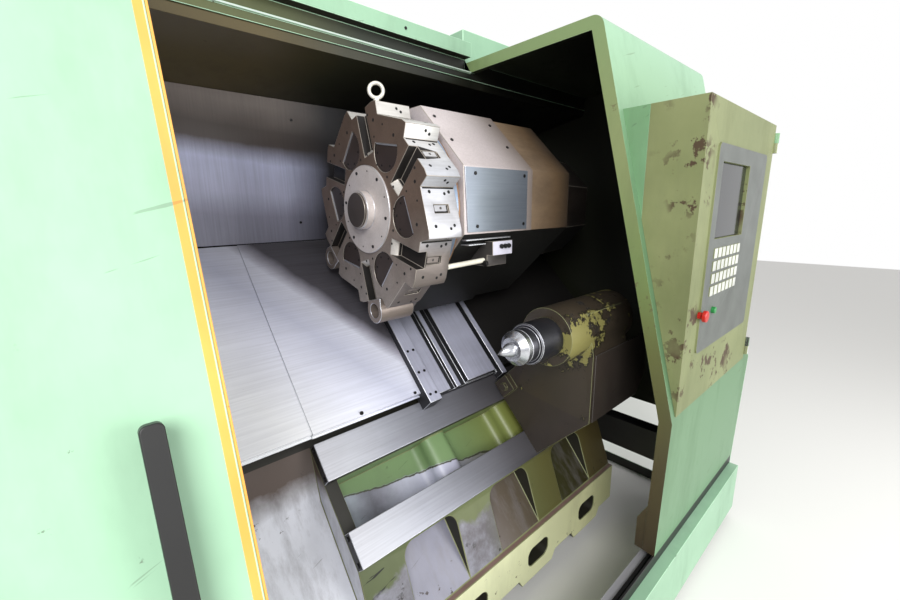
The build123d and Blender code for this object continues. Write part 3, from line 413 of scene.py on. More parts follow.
# Each finish: the function that makes it, and what that is given besides the name
RECIPES = {
    "bed_web": (bed_front,),
    "bed_chutes": (bed_chutes,),
    "bed_trough": (bed_trough,),
    "wall_steel": (back_wall,),
    "tailstock_paint": (tail_paint,),
    "window_glass": (window_glass,),

    # Colour, shade, primer, chips, patches, grime, roughness, speck, inside
    "mint_paint": (paint, "mint", (128, 166, 136), "primer", 0.66, 0.60, 0.25),
    # mint_shell paints dark olive shade on the faces that look into the machine.
    "mint_shell": (paint, "mint", (128, 166, 136), "primer", 0.66, 0.60, 0.25, 0.42, 26, (34, 36, 26)),
    # Lighter mint on the bevelled edges of painted pieces: a painted highlight, chipped like the paint.
    "mint_edge": (paint, (190, 228, 198), (166, 206, 172), "primer", 0.6, 0.5, 0.2),
    "wedge_paint": (paint, (112, 152, 112), (96, 132, 94), "primer", 0.64, 0.56, 0.3),
    "cabinet_paint": (paint, "cabinet", (100, 108, 66), (66, 50, 30), 0.535, 0.50, 0.3, 0.5, 12),
    "casting_paint": (paint, "casting", (112, 118, 78), "primer", 0.55, 0.46, 0.5, 0.55, 16),
    "tail_dark": (paint, (54, 46, 40), (34, 30, 27), (24, 21, 19), 0.6, 0.5, 0.6, 0.5),
    "orange_strip": (paint, (232, 166, 78), (206, 136, 52), (70, 46, 26), 0.62, 0.5, 0.3, 0.4),

    # Direction, tones along it, primer, chips, patches, grime, roughness, spread
    # The lip and the frame front darken towards the bottom: painted shade.
    "lip_paint": (banded_paint, UP, (
        (0.25, (48, 38, 26)), (0.7, (70, 62, 36)), (1.1, (92, 96, 54)), (1.4, (108, 126, 76)),
        (1.8, "lip"), (2.2, (116, 136, 90))),
        (84, 66, 48), 0.58, 0.52, 0.3),
    "frame_front_paint": (banded_paint, UP, (
        (0.2, (98, 134, 100)), (1.2, (88, 120, 86)), (1.75, (112, 150, 112)), (2.05, (138, 174, 140)),
        (2.25, "mint")),
        (84, 78, 52), 0.62, 0.56, 0.25),
    # The rail below its slot darkens to the right, deeper into the machine: painted shade.
    "rail_paint": (banded_paint, RIGHT, (
        (-1.0, (92, 98, 60)), (-0.2, (84, 90, 54)), (0.10, (66, 72, 44)), (0.32, (34, 40, 28)),
        (0.75, (16, 18, 15))),
        (40, 38, 24), 0.66, 0.6, 0.4),
    # Dark inner faces of the right frame, deepening towards the back: painted shade.
    "frame_inside": (banded_paint, FORWARD, (
        (-0.2, (64, 70, 52)), (0.3, (20, 22, 16)), (0.9, (14, 14, 11))),
        (10, 10, 8), 0.66, 0.6, 0.6),
    # A far lighter copy of the casting paint on the foot flange's forward faces, fading to the right: painted
    # light.
    "foot_flange_paint": (banded_paint, RIGHT, (
        (-0.6, (232, 234, 196)), (0.5, (226, 228, 186)), (1.3, (208, 206, 156))),
        (96, 84, 50), 0.62, 0.56, 0.3),
    # The ceiling darkens from the left to the right, deeper into the machine: painted shade.
    "ceiling_paint": (banded_paint, RIGHT, (
        (-1.2, (86, 76, 46)), (-0.05, (80, 70, 42)), (0.25, (48, 48, 34)), (0.7, (18, 19, 15))),
        (20, 20, 16), 0.66, 0.6, 0.4, 0.3, 0.12),

    # Direction, tones along it, dark, grain, dirt, dirt scale, roughness, metallic, spread
    # The way cover is bright at the lower left and darkens towards the turret: painted light, shadow and a
    # dark reflection; the brighter band at 0.86 paints light into the top rail's shadow.
    "way_cover_steel": (banded_steel, (1, 0.5, 0.5), (
        (0.30, (252, 253, 255)), (0.55, (236, 238, 252)), (0.72, (208, 211, 230)), (0.86, (232, 234, 248)),
        (0.905, (176, 174, 188)), (0.96, (80, 77, 83)), (1.2, (60, 57, 60))),
        (118, 118, 128), LENGTHWISE, 0.32, 1.6, 0.4, 0.12, 0.05),
    # The guideways are bright at their left ends and darken to the right: painted shade.
    "guideway_steel": (banded_steel, RIGHT, (
        (-0.06, (222, 223, 230)), (0.04, (208, 210, 218)), (0.20, (172, 174, 184)), (0.36, (139, 141, 150)),
        (0.67, (94, 93, 98)), (0.95, (60, 57, 58)), (1.3, (44, 42, 40))),
        (76, 72, 74), LENGTHWISE, 0.35, 2.4, 0.28, 0.35, 0.04),
    "disc_steel": (banded_steel, UP, (
        (1.34, (150, 141, 135)), (1.48, (136, 125, 118)), (1.62, (112, 94, 82)), (1.9, (98, 82, 72))),
        (58, 48, 42), EVEN, 0.7, 5.0, 0.5, 0.3, 0.05),
    # The lower facets, which face down, are darker: painted shade.
    "facet_steel": (banded_steel, UP, (
        (1.30, (118, 108, 102)), (1.46, (138, 129, 124)), (1.53, (190, 190, 196)), (1.72, (196, 198, 204)),
        (1.90, (216, 213, 208))),
        (96, 90, 86), (0.05, 1, 1), 0.5, 7.0, 0.36, 0.4, 0.02),
    # The turret housing and its rear cover darken to the right, deeper into the machine: painted shade.
    "housing_paint": (banded_steel, RIGHT, (
        (0.40, (206, 196, 196)), (0.58, (190, 180, 180)), (0.70, (150, 140, 136)), (0.78, (112, 100, 92))),
        (112, 102, 98), EVEN, 0.45, 2.4, 0.42, 0.2, 0.04),
    "rear_housing": (banded_steel, RIGHT, (
        (0.76, (136, 116, 94)), (0.92, (104, 84, 62)), (1.02, (46, 38, 30)), (1.2, (20, 17, 15))),
        (58, 46, 36), (0.03, 1, 0.12), 0.6, 9.0, 0.5, 0.15, 0.05),

    # Light, dark, grain, dirt, dirt scale, roughness, metallic
    # The way cover right of the saddle, in a near-black copy of its steel: painted shade.
    "right_cover_steel": (ground, (34, 32, 31), (14, 13, 12), LENGTHWISE, 0.5, 1.6, 0.5, 0.2),
    "bar_side": (ground, (40, 37, 36), (18, 17, 17), (0.05, 1, 1), 0.5, 2.2, 0.45, 0.4),
    "dark_steel": (ground, (92, 88, 86), (40, 36, 34), EVEN, 0.6, 2.2, 0.45, 0.6),
    "bright_steel": (ground, (206, 208, 214), (96, 94, 94), (1, 0.05, 1), 0.4, 6, 0.3, 0.8),
    "saddle_steel": (ground, (206, 208, 228), (96, 94, 106), (1, 0.03, 0.03), 0.5, 2.8, 0.3, 0.35),
    "saddle_dark": (ground, (50, 50, 54), (20, 20, 22), (1, 0.1, 0.1), 0.5, 3, 0.45, 0.4),
    # Lighter steel on the bevelled edges of the turret, housing, coolant block and cross slide: a painted
    # highlight.
    "disc_edge": (ground, (168, 160, 150), (84, 76, 70), EVEN, 0.5, 8, 0.35, 0.6),
    "rim_steel": (ground, (150, 166, 190), (92, 100, 116), (0.05, 1, 1), 0.4, 6, 0.3, 0.8),
    "ramp_steel": (ground, (214, 210, 204), (130, 122, 114), EVEN, 0.4, 9, 0.36, 0.5),
    "socket_steel": (ground, (140, 128, 120), (66, 58, 54), (0.05, 1, 1), 0.6, 6, 0.4, 0.5),
    "flange_steel": (ground, (208, 200, 197), (140, 131, 126), EVEN, 0.5, 7, 0.5, 0.3),
    "seal_copper": (ground, (150, 116, 86), (84, 62, 48), EVEN, 0.5, 6, 0.38, 0.6),
    "plate_steel": (ground, (140, 148, 160), (86, 90, 98), (0.03, 1, 1), 0.4, 3, 0.3, 0.7),
    "quill_steel": (ground, (74, 74, 80), (28, 28, 32), EVEN, 0.5, 9, 0.28, 0.8),
    "centre_steel": (ground, (196, 198, 204), (80, 80, 84), EVEN, 0.4, 12, 0.2, 0.95),
    "chuck_steel": (ground, (170, 172, 178), (86, 86, 90), EVEN, 0.4, 7, 0.28, 0.85),
    "strip_steel": (ground, (206, 206, 210), (120, 120, 122), (0.03, 1, 1), 0.4, 5, 0.4, 0.5),

    # Colour, roughness, metallic
    "casting_edge": (plain, (128, 131, 92)),
    "flange_top": (plain, (132, 108, 98)),
    "casting_shade": (plain, (34, 32, 22), 0.6),
    # Near-black faces inside the turret disc's pockets: painted shade in the recesses.
    "pocket_dark": (plain, (26, 22, 20), 0.6, 0.2),
    "plug_dark": (plain, (58, 48, 44), 0.45, 0.2),
    "hub_cap_dark": (plain, (74, 66, 62), 0.5, 0.3),
    "bolt_black": (plain, (30, 29, 29), 0.4, 0.5),
    # Near-black discs and strips that stand in for holes, undercuts and the plug screws: painted shade.
    "deep_hole": (plain, (10, 10, 10), 0.8),
    "eyebolt_zinc": (plain, (222, 218, 206), 0.4, 0.3),
    "block_lilac": (plain, (206, 204, 218), 0.45, 0.2),
    "housing_shade": (plain, (20, 19, 17), 0.5, 0.2),
    "nozzle_white": (plain, (226, 222, 206)),
    "black_satin": (plain, (26, 26, 26), 0.45),
    "stop_red": (plain, (186, 32, 24), 0.3),
    "start_green": (plain, (40, 132, 66), 0.3),
    "screen_black": (plain, (18, 22, 26), 0.12),
    "key_grey": (plain, (196, 198, 192), 0.45),
    "panel_grey": (plain, (92, 96, 92)),
}
FINISHES = {}


def finish(name):
    """A finish by its name, made on first use."""
    if name not in FINISHES:
        make, *values = RECIPES[name]
        FINISHES[name] = make(name, *values)
    return FINISHES[name]


# Mesh helpers
def keep(node, name, bm, finishes, bevel=0.0, edge=-1):
    """Turns a bmesh into a piece that belongs to a CAD node. Bevels get the finish with the edge's number."""
    mesh = bpy.data.meshes.new(name)
    bm.to_mesh(mesh)
    bm.free()
    piece = bpy.data.objects.new(name, mesh)
    bpy.context.scene.collection.objects.link(piece)
    for one in finishes:
        mesh.materials.append(finish(one))
    mesh.polygons.foreach_set("use_smooth", [True] * len(mesh.polygons))
    mesh.set_sharp_from_angle(angle=SHARP_ANGLE)
    if bevel:
        modifier = piece.modifiers.new("edges", "BEVEL")
        modifier.width = bevel
        modifier.segments = 2
        modifier.limit_method = "ANGLE"
        modifier.angle_limit = BEVEL_ANGLE
        modifier.material = edge
    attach(piece, BODY_OF[node])
    return piece


def keep_screws(node, name, places, direction, radius, depth):
    """Keeps equal screws as one small piece."""
    bm = bmesh.new()
    for place in places:
        add_screw(bm, place, direction, radius, depth)
    keep(node, name, bm, ["bolt_black"])


def dress(node, finishes, bevel, pick=None, split=None):
    """Stands a bevelled copy of a CAD node in its place, with its edges in the second of the finishes.

    Pick gives the number of a face's finish. Split is a point and a direction: the faces are cut there,
    so that a finish can end in the middle of one."""
    finishes = finishes.split()
    bm = bmesh.new()
    bm.from_mesh(NODES[node].data)
    bmesh.ops.remove_doubles(bm, verts=bm.verts, dist=WELD_DISTANCE)
    bmesh.ops.dissolve_limit(bm, angle_limit=FLAT_ANGLE, verts=bm.verts, edges=bm.edges)
    if split:
        whole = bm.verts[:] + bm.edges[:] + bm.faces[:]
        bmesh.ops.bisect_plane(bm, geom=whole, plane_co=split[0], plane_no=split[1])
    for face in bm.faces:
        face.material_index = pick(face) if pick else 0
    edge = 1 if len(finishes) > 1 else -1
    piece = keep(node, node + "_dressed", bm, finishes, bevel, edge)
    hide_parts(node)


def dress_nodes(rows):
    """Dresses plain nodes, given in rows of nodes, finishes and bevel."""
    for nodes, finishes, bevel in rows:
        for node in nodes.split():
            dress(node, finishes, bevel)


def aim(direction):
    """Turning matrix whose Z runs along a direction."""
    z = Vector(direction).normalized()
    x = Vector(UP).cross(z)
    if x.length < 1e-6:
        x = Vector(RIGHT)
    x.normalize()
    return Matrix((x, z.cross(x), z)).transposed().to_4x4()


def add_disc(bm, centre, direction, radius, depth, sides):
    """Adds a short round bar that starts at a point and runs along a direction."""
    middle = Vector(centre) + Vector(direction).normalized() * depth / 2
    bmesh.ops.create_cone(
        bm, cap_ends=True, cap_tris=False, segments=sides, radius1=radius, radius2=radius, depth=depth,
        matrix=Matrix.Translation(middle) @ aim(direction))


def add_box(bm, centre, size, turn=Matrix.Identity(4)):
    """Adds a block by its centre and its size along its own axes."""
    place = Matrix.Translation(Vector(centre)) @ turn
    bmesh.ops.create_cube(bm, size=1.0, matrix=place @ Matrix.Diagonal((*size, 1.0)))


def add_screw(bm, centre, direction, radius, depth):
    """Adds a socket screw head with its hexagon recess."""
    add_disc(bm, centre, direction, radius, depth, 16)
    add_disc(bm, Vector(centre) + Vector(direction).normalized() * depth, direction, radius * 0.5, 0.0002, 6)


def on_disc(front, up, x=DISC_FRONT):
    """Point on the turret face, given forwards and up from its centre."""
    return Vector((x, TURRET.y - front, TURRET.z + up))


def polar(radius, degrees):
    return radius * math.cos(math.radians(degrees)), radius * math.sin(math.radians(degrees))


def slant(x, reach, rise):
    """Point by X, distance up the slant and distance out of it."""
    return Vector((x, 0, 0)) + SPINDLE + UPHILL * reach + OUTWARD * rise


def station(index):
    """Outward direction and climbing direction of one of the twelve facets of the turret disc."""
    turn = math.radians(15 + 30 * index)
    return Vector((0, -math.cos(turn), math.sin(turn))), Vector((0, math.sin(turn), math.cos(turn)))


def on_station(index, x, outward, climb):
    """Point by X, distance from the disc centre square to a facet, and distance along the facet."""
    normal, rising = station(index)
    return Vector((x, 0, 0)) + TURRET + normal * outward + rising * climb


class LatheStep(bpy.types.Operator):
    """Shared settings of the steps"""
    bl_options = {"REGISTER", "UNDO"}


class LATHE_OT_enclosure(LatheStep):
    """Paint the covers, frame, rails and walls, and add their screws"""
    bl_idname = "lathe.enclosure"
    bl_label = "Enclosure"

    def execute(self, context):
        sheet_edge = 0.0012
        dress_nodes((
            ("roof_box", "mint_paint mint_edge", 0.003),
            ("apron", "mint_paint mint_edge", sheet_edge),
            ("left_front_cover", "mint_shell", sheet_edge),
            ("left_end_cover right_end_cover rear_cover", "mint_shell mint_edge", sheet_edge),
            ("sill_rail", "black_satin", sheet_edge),
            ("light_strip", "strip_steel", sheet_edge),
            ("back_wall", "wall_steel", sheet_edge),
            ("ceiling", "ceiling_paint", sheet_edge),
            ("headstock_guard", "wall_steel", sheet_edge),
            ("support_beam", "black_satin", 0.003),
            ("levelling_feet", "bolt_black", 0.002),
        ))

        def part_of_frame(face):
            front, lip, inside = 0, 2, 3
            lip_end = 0.86
            centre = face.calc_center_median()
            if face.normal.x < -MOSTLY and centre.x < lip_end:
                return lip
            # Faces that look into the machine get the dark painted shade.
            return inside if face.normal.dot(INSIDE - centre) > 0 else front
        dress("right_frame", "frame_front_paint mint_edge lip_paint frame_inside", 0.0035, part_of_frame)

        def part_of_rail(face):
            cover, rail, underside, guide = 0, 2, 3, 4
            top_edge, slot_top, cover_bottom = 2.2475, 2.24, 2.2
            guide_bottom, guide_top = 2.18, 2.192
            cover_front, guide_front = 0.0715, 0.0795
            centre = face.calc_center_bounds()
            on_front = face.normal.y < -STRAIGHT and centre.y < cover_front and centre.z > cover_bottom
            if centre.z > top_edge or on_front:
                return cover
            if face.normal.z < -STRAIGHT and centre.z > slot_top:
                return underside
            return guide if centre.y < guide_front and guide_bottom < centre.z < guide_top else rail
        dress("top_rail", "mint_paint mint_edge rail_paint casting_shade strip_steel", 0.0016, part_of_rail)
        self.screws()
        return {"FINISHED"}

    def screws(self):
        radius = bpy.context.scene.lathe_fittings.screw_radius
        places = [(x, 0.486, z) for x in (0.2, 0.5, 0.8, 1.1, 1.5) for z in (1.56, 1.98)]
        keep_screws("back_wall", "wall_screws", places, FORWARD, radius, 0.003)
        bm = bmesh.new()
        for side in (-1, 1):
            for y in (-0.3, 0.2, 0.7):
                for z in (0.35, 1.1, 1.9):
                    add_screw(bm, (side * 1.7995, y, z), (side, 0, 0), radius, 0.0005)
        keep("left_end_cover", "end_cover_screws", bm, ["bolt_black"])
        places = [(x, 0.0712, 2.275) for x in (-1.6, -0.9, -0.2, 0.5)]
        keep_screws("top_rail", "rail_screws", places, FORWARD, radius, 0.003)


def part_of_bed(face):
    """Finish of a face of the bed, by where it is and which way it looks."""
    casting, flange, flange_top, web, chutes, trough, shade = 0, 2, 3, 4, 5, 6, 7
    flange_height, flange_front, flange_inner = 0.28, -0.452, -0.42
    foot_back, web_back, cheek_back = -0.25, -0.23, -0.05
    bed_left, left_cheek = -0.6, -0.065
    centre = face.calc_center_median()
    normal = face.normal
    reach = (centre - SPINDLE).dot(UPHILL)
    rise = (centre - SPINDLE).dot(OUTWARD)
    sideways = abs(normal.x) > STRAIGHT
    # Forward faces of the foot flange take a lighter copy of the casting paint: painted light.
    if centre.y < flange_front and normal.y < -STRAIGHT:
        return flange
    if centre.z < flange_height and centre.y < foot_back:
        return shade
    if centre.z < flange_height + 0.007 and normal.z > STRAIGHT and centre.y < flange_inner:
        return flange_top
    if -0.226 < reach < -0.059 and -0.652 < rise < -0.546 and centre.x > left_cheek + 0.001:
        return trough
    if sideways and abs(centre.x - left_cheek) < 0.004:
        return chutes
    above_flange = centre.z > flange_height
    if above_flange and centre.y < cheek_back and bed_left < centre.x < left_cheek - 0.001:
        return shade if sideways else chutes
    if reach > -0.062 and rise > -0.62 and abs(normal.x) < STRAIGHT:
        return shade
    if above_flange and centre.y < web_back:
        if abs(normal.x) > MOSTLY or normal.z < -MOSTLY:
            return shade
        return web if abs(normal.y) > 0.2 and is_on_web(centre) else chutes
    return casting


def is_on_web(point):
    """True on the outer sloped face between the foot flange and the lower guideway."""
    low = Vector((0, -0.431, 0.285))
    high = SPINDLE + UPHILL * -0.337 + OUTWARD * -0.545
    slope = (high - low).normalized()
    off = Vector((0, point.y, point.z)) - low
    return (off - slope * off.dot(slope)).length < 0.004


class LATHE_OT_bed(LatheStep):
    """Paint the bed casting and grind the guideways"""
    bl_idname = "lathe.bed"
    bl_label = "Bed and guideways"

    def execute(self, context):
        outside = "casting_paint casting_edge foot_flange_paint flange_top bed_web"
        dress("bed", outside + " bed_chutes bed_trough casting_shade", 0.003, part_of_bed)

        def side_of_bar(face):
            top, side = 0, 2
            return side if abs(face.normal.x) > STRAIGHT or face.normal.dot(UPHILL) < -STRAIGHT else top
        for node in ("lower_guideway", "upper_guideway"):
            dress(node, "guideway_steel bright_steel bar_side", 0.0022, side_of_bar)
        dress("saddle_rails", "guideway_steel bright_steel", 0.0015)
        places = [slant(-0.065, reach, -0.523) for reach in (-0.32, -0.24, -0.045, 0.055)]
        keep_screws("lower_guideway", "guideway_end_screws", places, LEFT, 0.008, 0.004)
        return {"FINISHED"}


class LATHE_OT_covers(LatheStep):
    """Give the way covers their brushed sheet and bolts"""
    bl_idname = "lathe.covers"
    bl_label = "Way covers"

    def execute(self, context):
        dress_nodes((
            ("fixed_way_cover saddle_way_cover", "way_cover_steel bright_steel", 0.0008),
            ("right_way_cover", "right_cover_steel", 0.0008),
        ))
        bm = bmesh.new()
        for x, radius in ((0.115, 0.007), (0.355, 0.006)):
            add_screw(bm, slant(x, 0.10, -0.455), OUTWARD, radius, 0.004)
        keep("saddle_way_cover", "way_cover_screws", bm, ["bolt_black"])
        return {"FINISHED"}


class LATHE_OT_saddle(LatheStep):
    """Finish the saddle, its strips and the screws"""
    bl_idname = "lathe.saddle"
    bl_label = "Saddle"

    def execute(self, context):
        def part_of_saddle(face):
            body, strip_top = 0, 2
            strip_foot = -0.4535
            rise = (face.calc_center_median() - SPINDLE).dot(OUTWARD)
            return strip_top if face.normal.dot(OUTWARD) > STRAIGHT and rise > strip_foot else body
        dress("saddle", "saddle_dark bright_steel saddle_steel", 0.0018, part_of_saddle)
        dress_nodes((
            ("saddle_screw cross_screw", "bright_steel", 0.001),
            ("cross_slide", "housing_shade disc_edge", 0.003),
        ))
        places = [slant(x, reach, -0.425) for x in (0.396, 0.424) for reach in (0.065, 0.165, 0.265)]
        keep_screws("saddle", "saddle_screws", places, OUTWARD, 0.0055, 0.003)
        return {"FINISHED"}


class LATHE_OT_turret_housing(LatheStep):
    """Finish the turret housing with its plate, seal ring and coolant fittings"""
    bl_idname = "lathe.turret_housing"
    bl_label = "Turret housing"

    def execute(self, context):
        dress_nodes((
            ("turret_plate", "plate_steel bright_steel", 0.0008),
            ("seal_ring", "seal_copper", 0.001),
            ("coolant_pipe", "nozzle_white", 0.0008),
        ))

        def part_of_housing(face):
            outside, under = 0, 2
            shade_top = 1.5
            return under if face.normal.z < -MOSTLY or face.calc_center_median().z < shade_top else outside
        dress("turret_housing", "housing_paint disc_edge housing_shade", 0.002, part_of_housing)
        dress("turret_rear_cover", "rear_housing disc_edge housing_shade", 0.002, part_of_housing)

        def part_of_block(face):
            front, side = 0, 2
            front_bottom = 1.46
            return front if face.normal.y < -STRAIGHT and face.calc_center_bounds().z > front_bottom else side
        dress("coolant_block", "block_lilac disc_edge dark_steel", 0.0015, part_of_block)
        self.screws()
        self.ledges()
        self.coolant_fittings()
        return {"FINISHED"}

    def screws(self):
        low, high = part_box("turret_plate")
        inset = 0.019
        right = high.x - 0.02
        bm = bmesh.new()
        for x, z in (
            (0.459, low.z + inset), (right, low.z + inset), (0.45, high.z - inset), (right, high.z - inset),
        ):
            add_screw(bm, (x, low.y, z), FORWARD, 0.006, 0.002)
        chamfer = Vector((0, -1, 1)).normalized()
        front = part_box("turret_housing")[0].y
        chamfer_bottom = TURRET.z + 0.135
        for x, rise in ((0.432, 0.088), (0.711, 0.085), (0.432, 0.175), (0.711, 0.175)):
            add_screw(bm, (x, front + rise, chamfer_bottom + rise), chamfer, 0.006, 0.003)
        keep("turret_housing", "housing_screws", bm, ["bolt_black"])

    def ledges(self):
        """Two thin strips on the housing under its front plate."""
        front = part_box("turret_housing")[0].y
        slope_top = TURRET.z - 0.084
        bm = bmesh.new()
        for left, right, z in ((0.409, 0.632, 1.5055), (0.420, 0.502, 1.4890)):
            back = front + max(0.0, slope_top - z)
            middle = ((left + right) / 2, (front + back) / 2, z)
            add_box(bm, middle, (right - left, back - front + 0.006, 0.004))
        keep("turret_housing", "housing_ledges", bm, ["bright_steel"], 0.0008)

    def coolant_fittings(self):
        low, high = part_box("coolant_block")
        nut_depth = 0.009
        bm = bmesh.new()
        for x in (0.572, 0.592, 0.611):
            add_disc(bm, (x, low.y, high.z - 0.019), FORWARD, 0.0085, nut_depth, 6)
            add_disc(bm, (x, low.y - nut_depth, high.z - 0.019), FORWARD, 0.0055, 0.003, 16)
        add_disc(bm, (low.x, low.y + 0.03, low.z + 0.0115), LEFT, 0.0115, 0.012, 6)
        keep("coolant_block", "coolant_nuts", bm, ["bolt_black"], 0.0008)


class LATHE_OT_turret_disc(LatheStep):
    """Finish the turret disc with its ground facets, plugs, sockets and eyebolt"""
    bl_idname = "lathe.turret_disc"
    bl_label = "Turret disc"

    def execute(self, context):
        def part_of_disc(face):
            front, facet, rim, pocket, ramp = 0, 2, 3, 4, 5
            margin, pocket_depth, pocket_reach, small_area = 0.001, 0.035, 0.325, 0.003
            centre = face.calc_center_bounds()
            spoke = Vector((0, centre.y - TURRET.y, centre.z - TURRET.z))
            if centre.x > DISC_BACK + margin:
                return rim
            if face.normal.x < -STRAIGHT and centre.x < DISC_FRONT + margin:
                return front
            # Faces deep in the pockets take painted shade.
            if max(vert.co.x for vert in face.verts) < DISC_FRONT + pocket_depth:
                return ramp if -STRAIGHT < face.normal.x < -MOSTLY else pocket
            if face.calc_area() < small_area and spoke.length < pocket_reach:
                return pocket
            return facet if abs(face.normal.x) < 0.1 else rim
        finishes = "disc_steel disc_edge facet_steel rim_steel pocket_dark ramp_steel"
        dress("turret_disc", finishes, 0.0014, part_of_disc)
        dress_nodes((
            ("disc_flange", "flange_steel bright_steel", 0.0015),
            ("hub_cap", "hub_cap_dark disc_edge", 0.0015),
            ("station_plugs", "plug_dark disc_edge", 0.0008),
            ("disc_bolts", "bolt_black", 0.0006),
            ("bar_sockets", "socket_steel bright_steel", 0.0016),
            ("eyebolt", "eyebolt_zinc", 0.0),
        ))
        self.plug_bars()
        self.facet_fittings()
        self.face_holes()
        return {"FINISHED"}

    def plug_bars(self):
        """Bright bar along the straight side of each plug, and four small screws."""
        tilt = 26
        bars = bmesh.new()
        screws = bmesh.new()
        for index in range(6):
            angle = 54 + 60 * index
            front, up = polar(0.225, angle)
            off_front, off_up = polar(0.0195, angle + tilt)
            turn = Matrix.Rotation(math.radians(-angle - tilt), 4, "X")
            middle = on_disc(front + off_front, up + off_up, DISC_FRONT + 0.003)
            add_box(bars, middle, (0.003, 0.0045, 0.116), turn)
            for screw_angle in (-52, 100, 155, 210):
                off_front, off_up = polar(0.050, angle + tilt + screw_angle)
                place = on_disc(front + off_front, up + off_up, DISC_FRONT + 0.0038)
                add_screw(screws, place, LEFT, 0.0035, 0.0012)
        keep("station_plugs", "plug_bars", bars, ["bright_steel"])
        keep("station_plugs", "plug_screws", screws, ["deep_hole"])

    def facet_fittings(self):
        """Tapped holes, key and undercut of each facet, the hole of each step, and the key's screw."""
        holes = bmesh.new()
        keys = bmesh.new()
        screws = bmesh.new()
        step_out, step_along = 0.438, -0.899
        key_climb = -0.081
        for index in range(12):
            normal, rising = station(index)
            for x, climb, radius in (
                (0.2555, -0.031, 0.0055), (0.314, -0.0365, 0.005), (0.333, -0.031, 0.0055),
                (0.256, -0.136, 0.0055), (0.3315, -0.136, 0.0052), (0.315, -0.1455, 0.005),
            ):
                add_disc(holes, on_station(index, x, FACET - 0.0003, climb), normal, radius, 0.0006, 14)
            slope = normal * step_out + rising * step_along
            for x, outward, climb in ((0.320, 0.329, -0.0075), (0.304, 0.337, -0.0037)):
                place = on_station(index, x, outward, climb) - slope * 0.0004
                add_disc(holes, place, slope, 0.005, 0.0008, 14)
            turn = Matrix.Rotation(math.radians(-15 - 30 * index), 4, "X")
            add_box(holes, on_station(index, 0.293, FACET, -0.0195), (0.124, 0.0008, 0.005), turn)
            add_box(keys, on_station(index, 0.288, FACET - 0.0035, key_climb), (0.046, 0.006, 0.019), turn)
            add_disc(screws, on_station(index, 0.288, FACET - 0.0007, key_climb), normal, 0.0045, 0.0004, 12)
        keep("turret_disc", "facet_holes", holes, ["deep_hole"])
        keep("turret_disc", "facet_keys", keys, ["facet_steel"], 0.001)
        keep("turret_disc", "key_screws", screws, ["dark_steel"])

    def face_holes(self):
        """Small holes in the front of each of the six sectors, and one in the flange between them."""
        bm = bmesh.new()
        for index in range(6):
            for reach, angle, radius in (
                (0.287, -24, 0.0055), (0.292, 1, 0.0055), (0.306, 8, 0.0045), (0.170, 22, 0.0045),
                (0.290, -10, 0.0035), (0.182, 8, 0.004), (0.243, 58, 0.0035), (0.165, 46, 0.003),
            ):
                place = on_disc(*polar(reach, 15 + 60 * index + angle), DISC_FRONT + 0.0002)
                add_disc(bm, place, LEFT, radius, 0.0005, 12)
            place = on_disc(*polar(0.131, 18 + 60 * index), DISC_FRONT - 0.0068)
            add_disc(bm, place, LEFT, 0.003, 0.0005, 12)
        keep("turret_disc", "disc_face_holes", bm, ["deep_hole"])


class LATHE_OT_tailstock(LatheStep):
    """Paint the tailstock and finish its quill, live centre and guards"""
    bl_idname = "lathe.tailstock"
    bl_label = "Tailstock"

    def execute(self, context):
        def part_of_tailstock(face):
            painted, greasy = 0, 2
            grease_top = 1.02
            low = face.calc_center_median().z < grease_top
            return greasy if low and face.normal.x < -STRAIGHT else painted
        dress("tailstock", "tailstock_paint casting_edge tail_dark", 0.006, part_of_tailstock)
        dress_nodes((
            ("tailstock_guards", "tail_dark dark_steel", 0.0012),
            ("quill", "quill_steel bright_steel", 0.0012),
            ("live_centre", "centre_steel bright_steel", 0.0008),
        ))
        return {"FINISHED"}


class LATHE_OT_headstock(LatheStep):
    """Finish the headstock, motor, spindle and chuck"""
    bl_idname = "lathe.headstock"
    bl_label = "Headstock and chuck"

    def execute(self, context):
        dress_nodes((
            ("headstock", "casting_paint casting_edge", 0.006),
            ("spindle_bearings", "bright_steel", 0.001),
            ("spindle_motor", "black_satin", 0.003),
            ("spindle", "chuck_steel", 0.001),
            ("chuck_body", "chuck_steel bright_steel", 0.002),
            ("chuck_jaw_1 chuck_jaw_2 chuck_jaw_3", "chuck_steel bright_steel", 0.0012),
        ))
        places = [SPINDLE + Vector((-0.43, *polar(0.155, 60 * index))) for index in range(6)]
        keep_screws("chuck_body", "chuck_screws", places, RIGHT, 0.009, 0.001)
        return {"FINISHED"}


class LATHE_OT_door(LatheStep):
    """Finish the sliding door, its window, edge strip and handle"""
    bl_idname = "lathe.door"
    bl_label = "Sliding door"

    def execute(self, context):
        strip_width = 0.014
        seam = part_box("sliding_door")[1].x - strip_width

        def part_of_door(face):
            door, strip = 0, 2
            return strip if face.calc_center_median().x > seam else door
        dress("sliding_door", "mint_paint mint_edge orange_strip", 0.003, part_of_door, ((seam, 0, 0), RIGHT))
        dress_nodes((
            ("door_window", "window_glass", 0.001),
            ("door_edge_strip", "orange_strip", 0.0006),
            ("door_handle", "black_satin", 0.003),
        ))
        return {"FINISHED"}


class LATHE_OT_cabinet(LatheStep):
    """Finish the control cabinet with its screen, keys and buttons"""
    bl_idname = "lathe.cabinet"
    bl_label = "Control cabinet"

    def execute(self, context):
        def part_of_cabinet(face):
            body, panel, key = 0, 2, 3
            panel_back, key_back = -0.88, -0.8845
            y = face.calc_center_median().y
            if face.normal.y >= -STRAIGHT or y >= panel_back:
                return body
            return key if y < key_back else panel
        dress("console_housing", "wedge_paint mint_edge", 0.0025)
        dress("control_door", "cabinet_paint casting_edge panel_grey key_grey", 0.0015, part_of_cabinet)
        dress_nodes((
            ("screen", "screen_black", 0.001),
            ("emergency_stop", "stop_red", 0.003),
            ("start_button", "start_green", 0.0015),
        ))
        return {"FINISHED"}


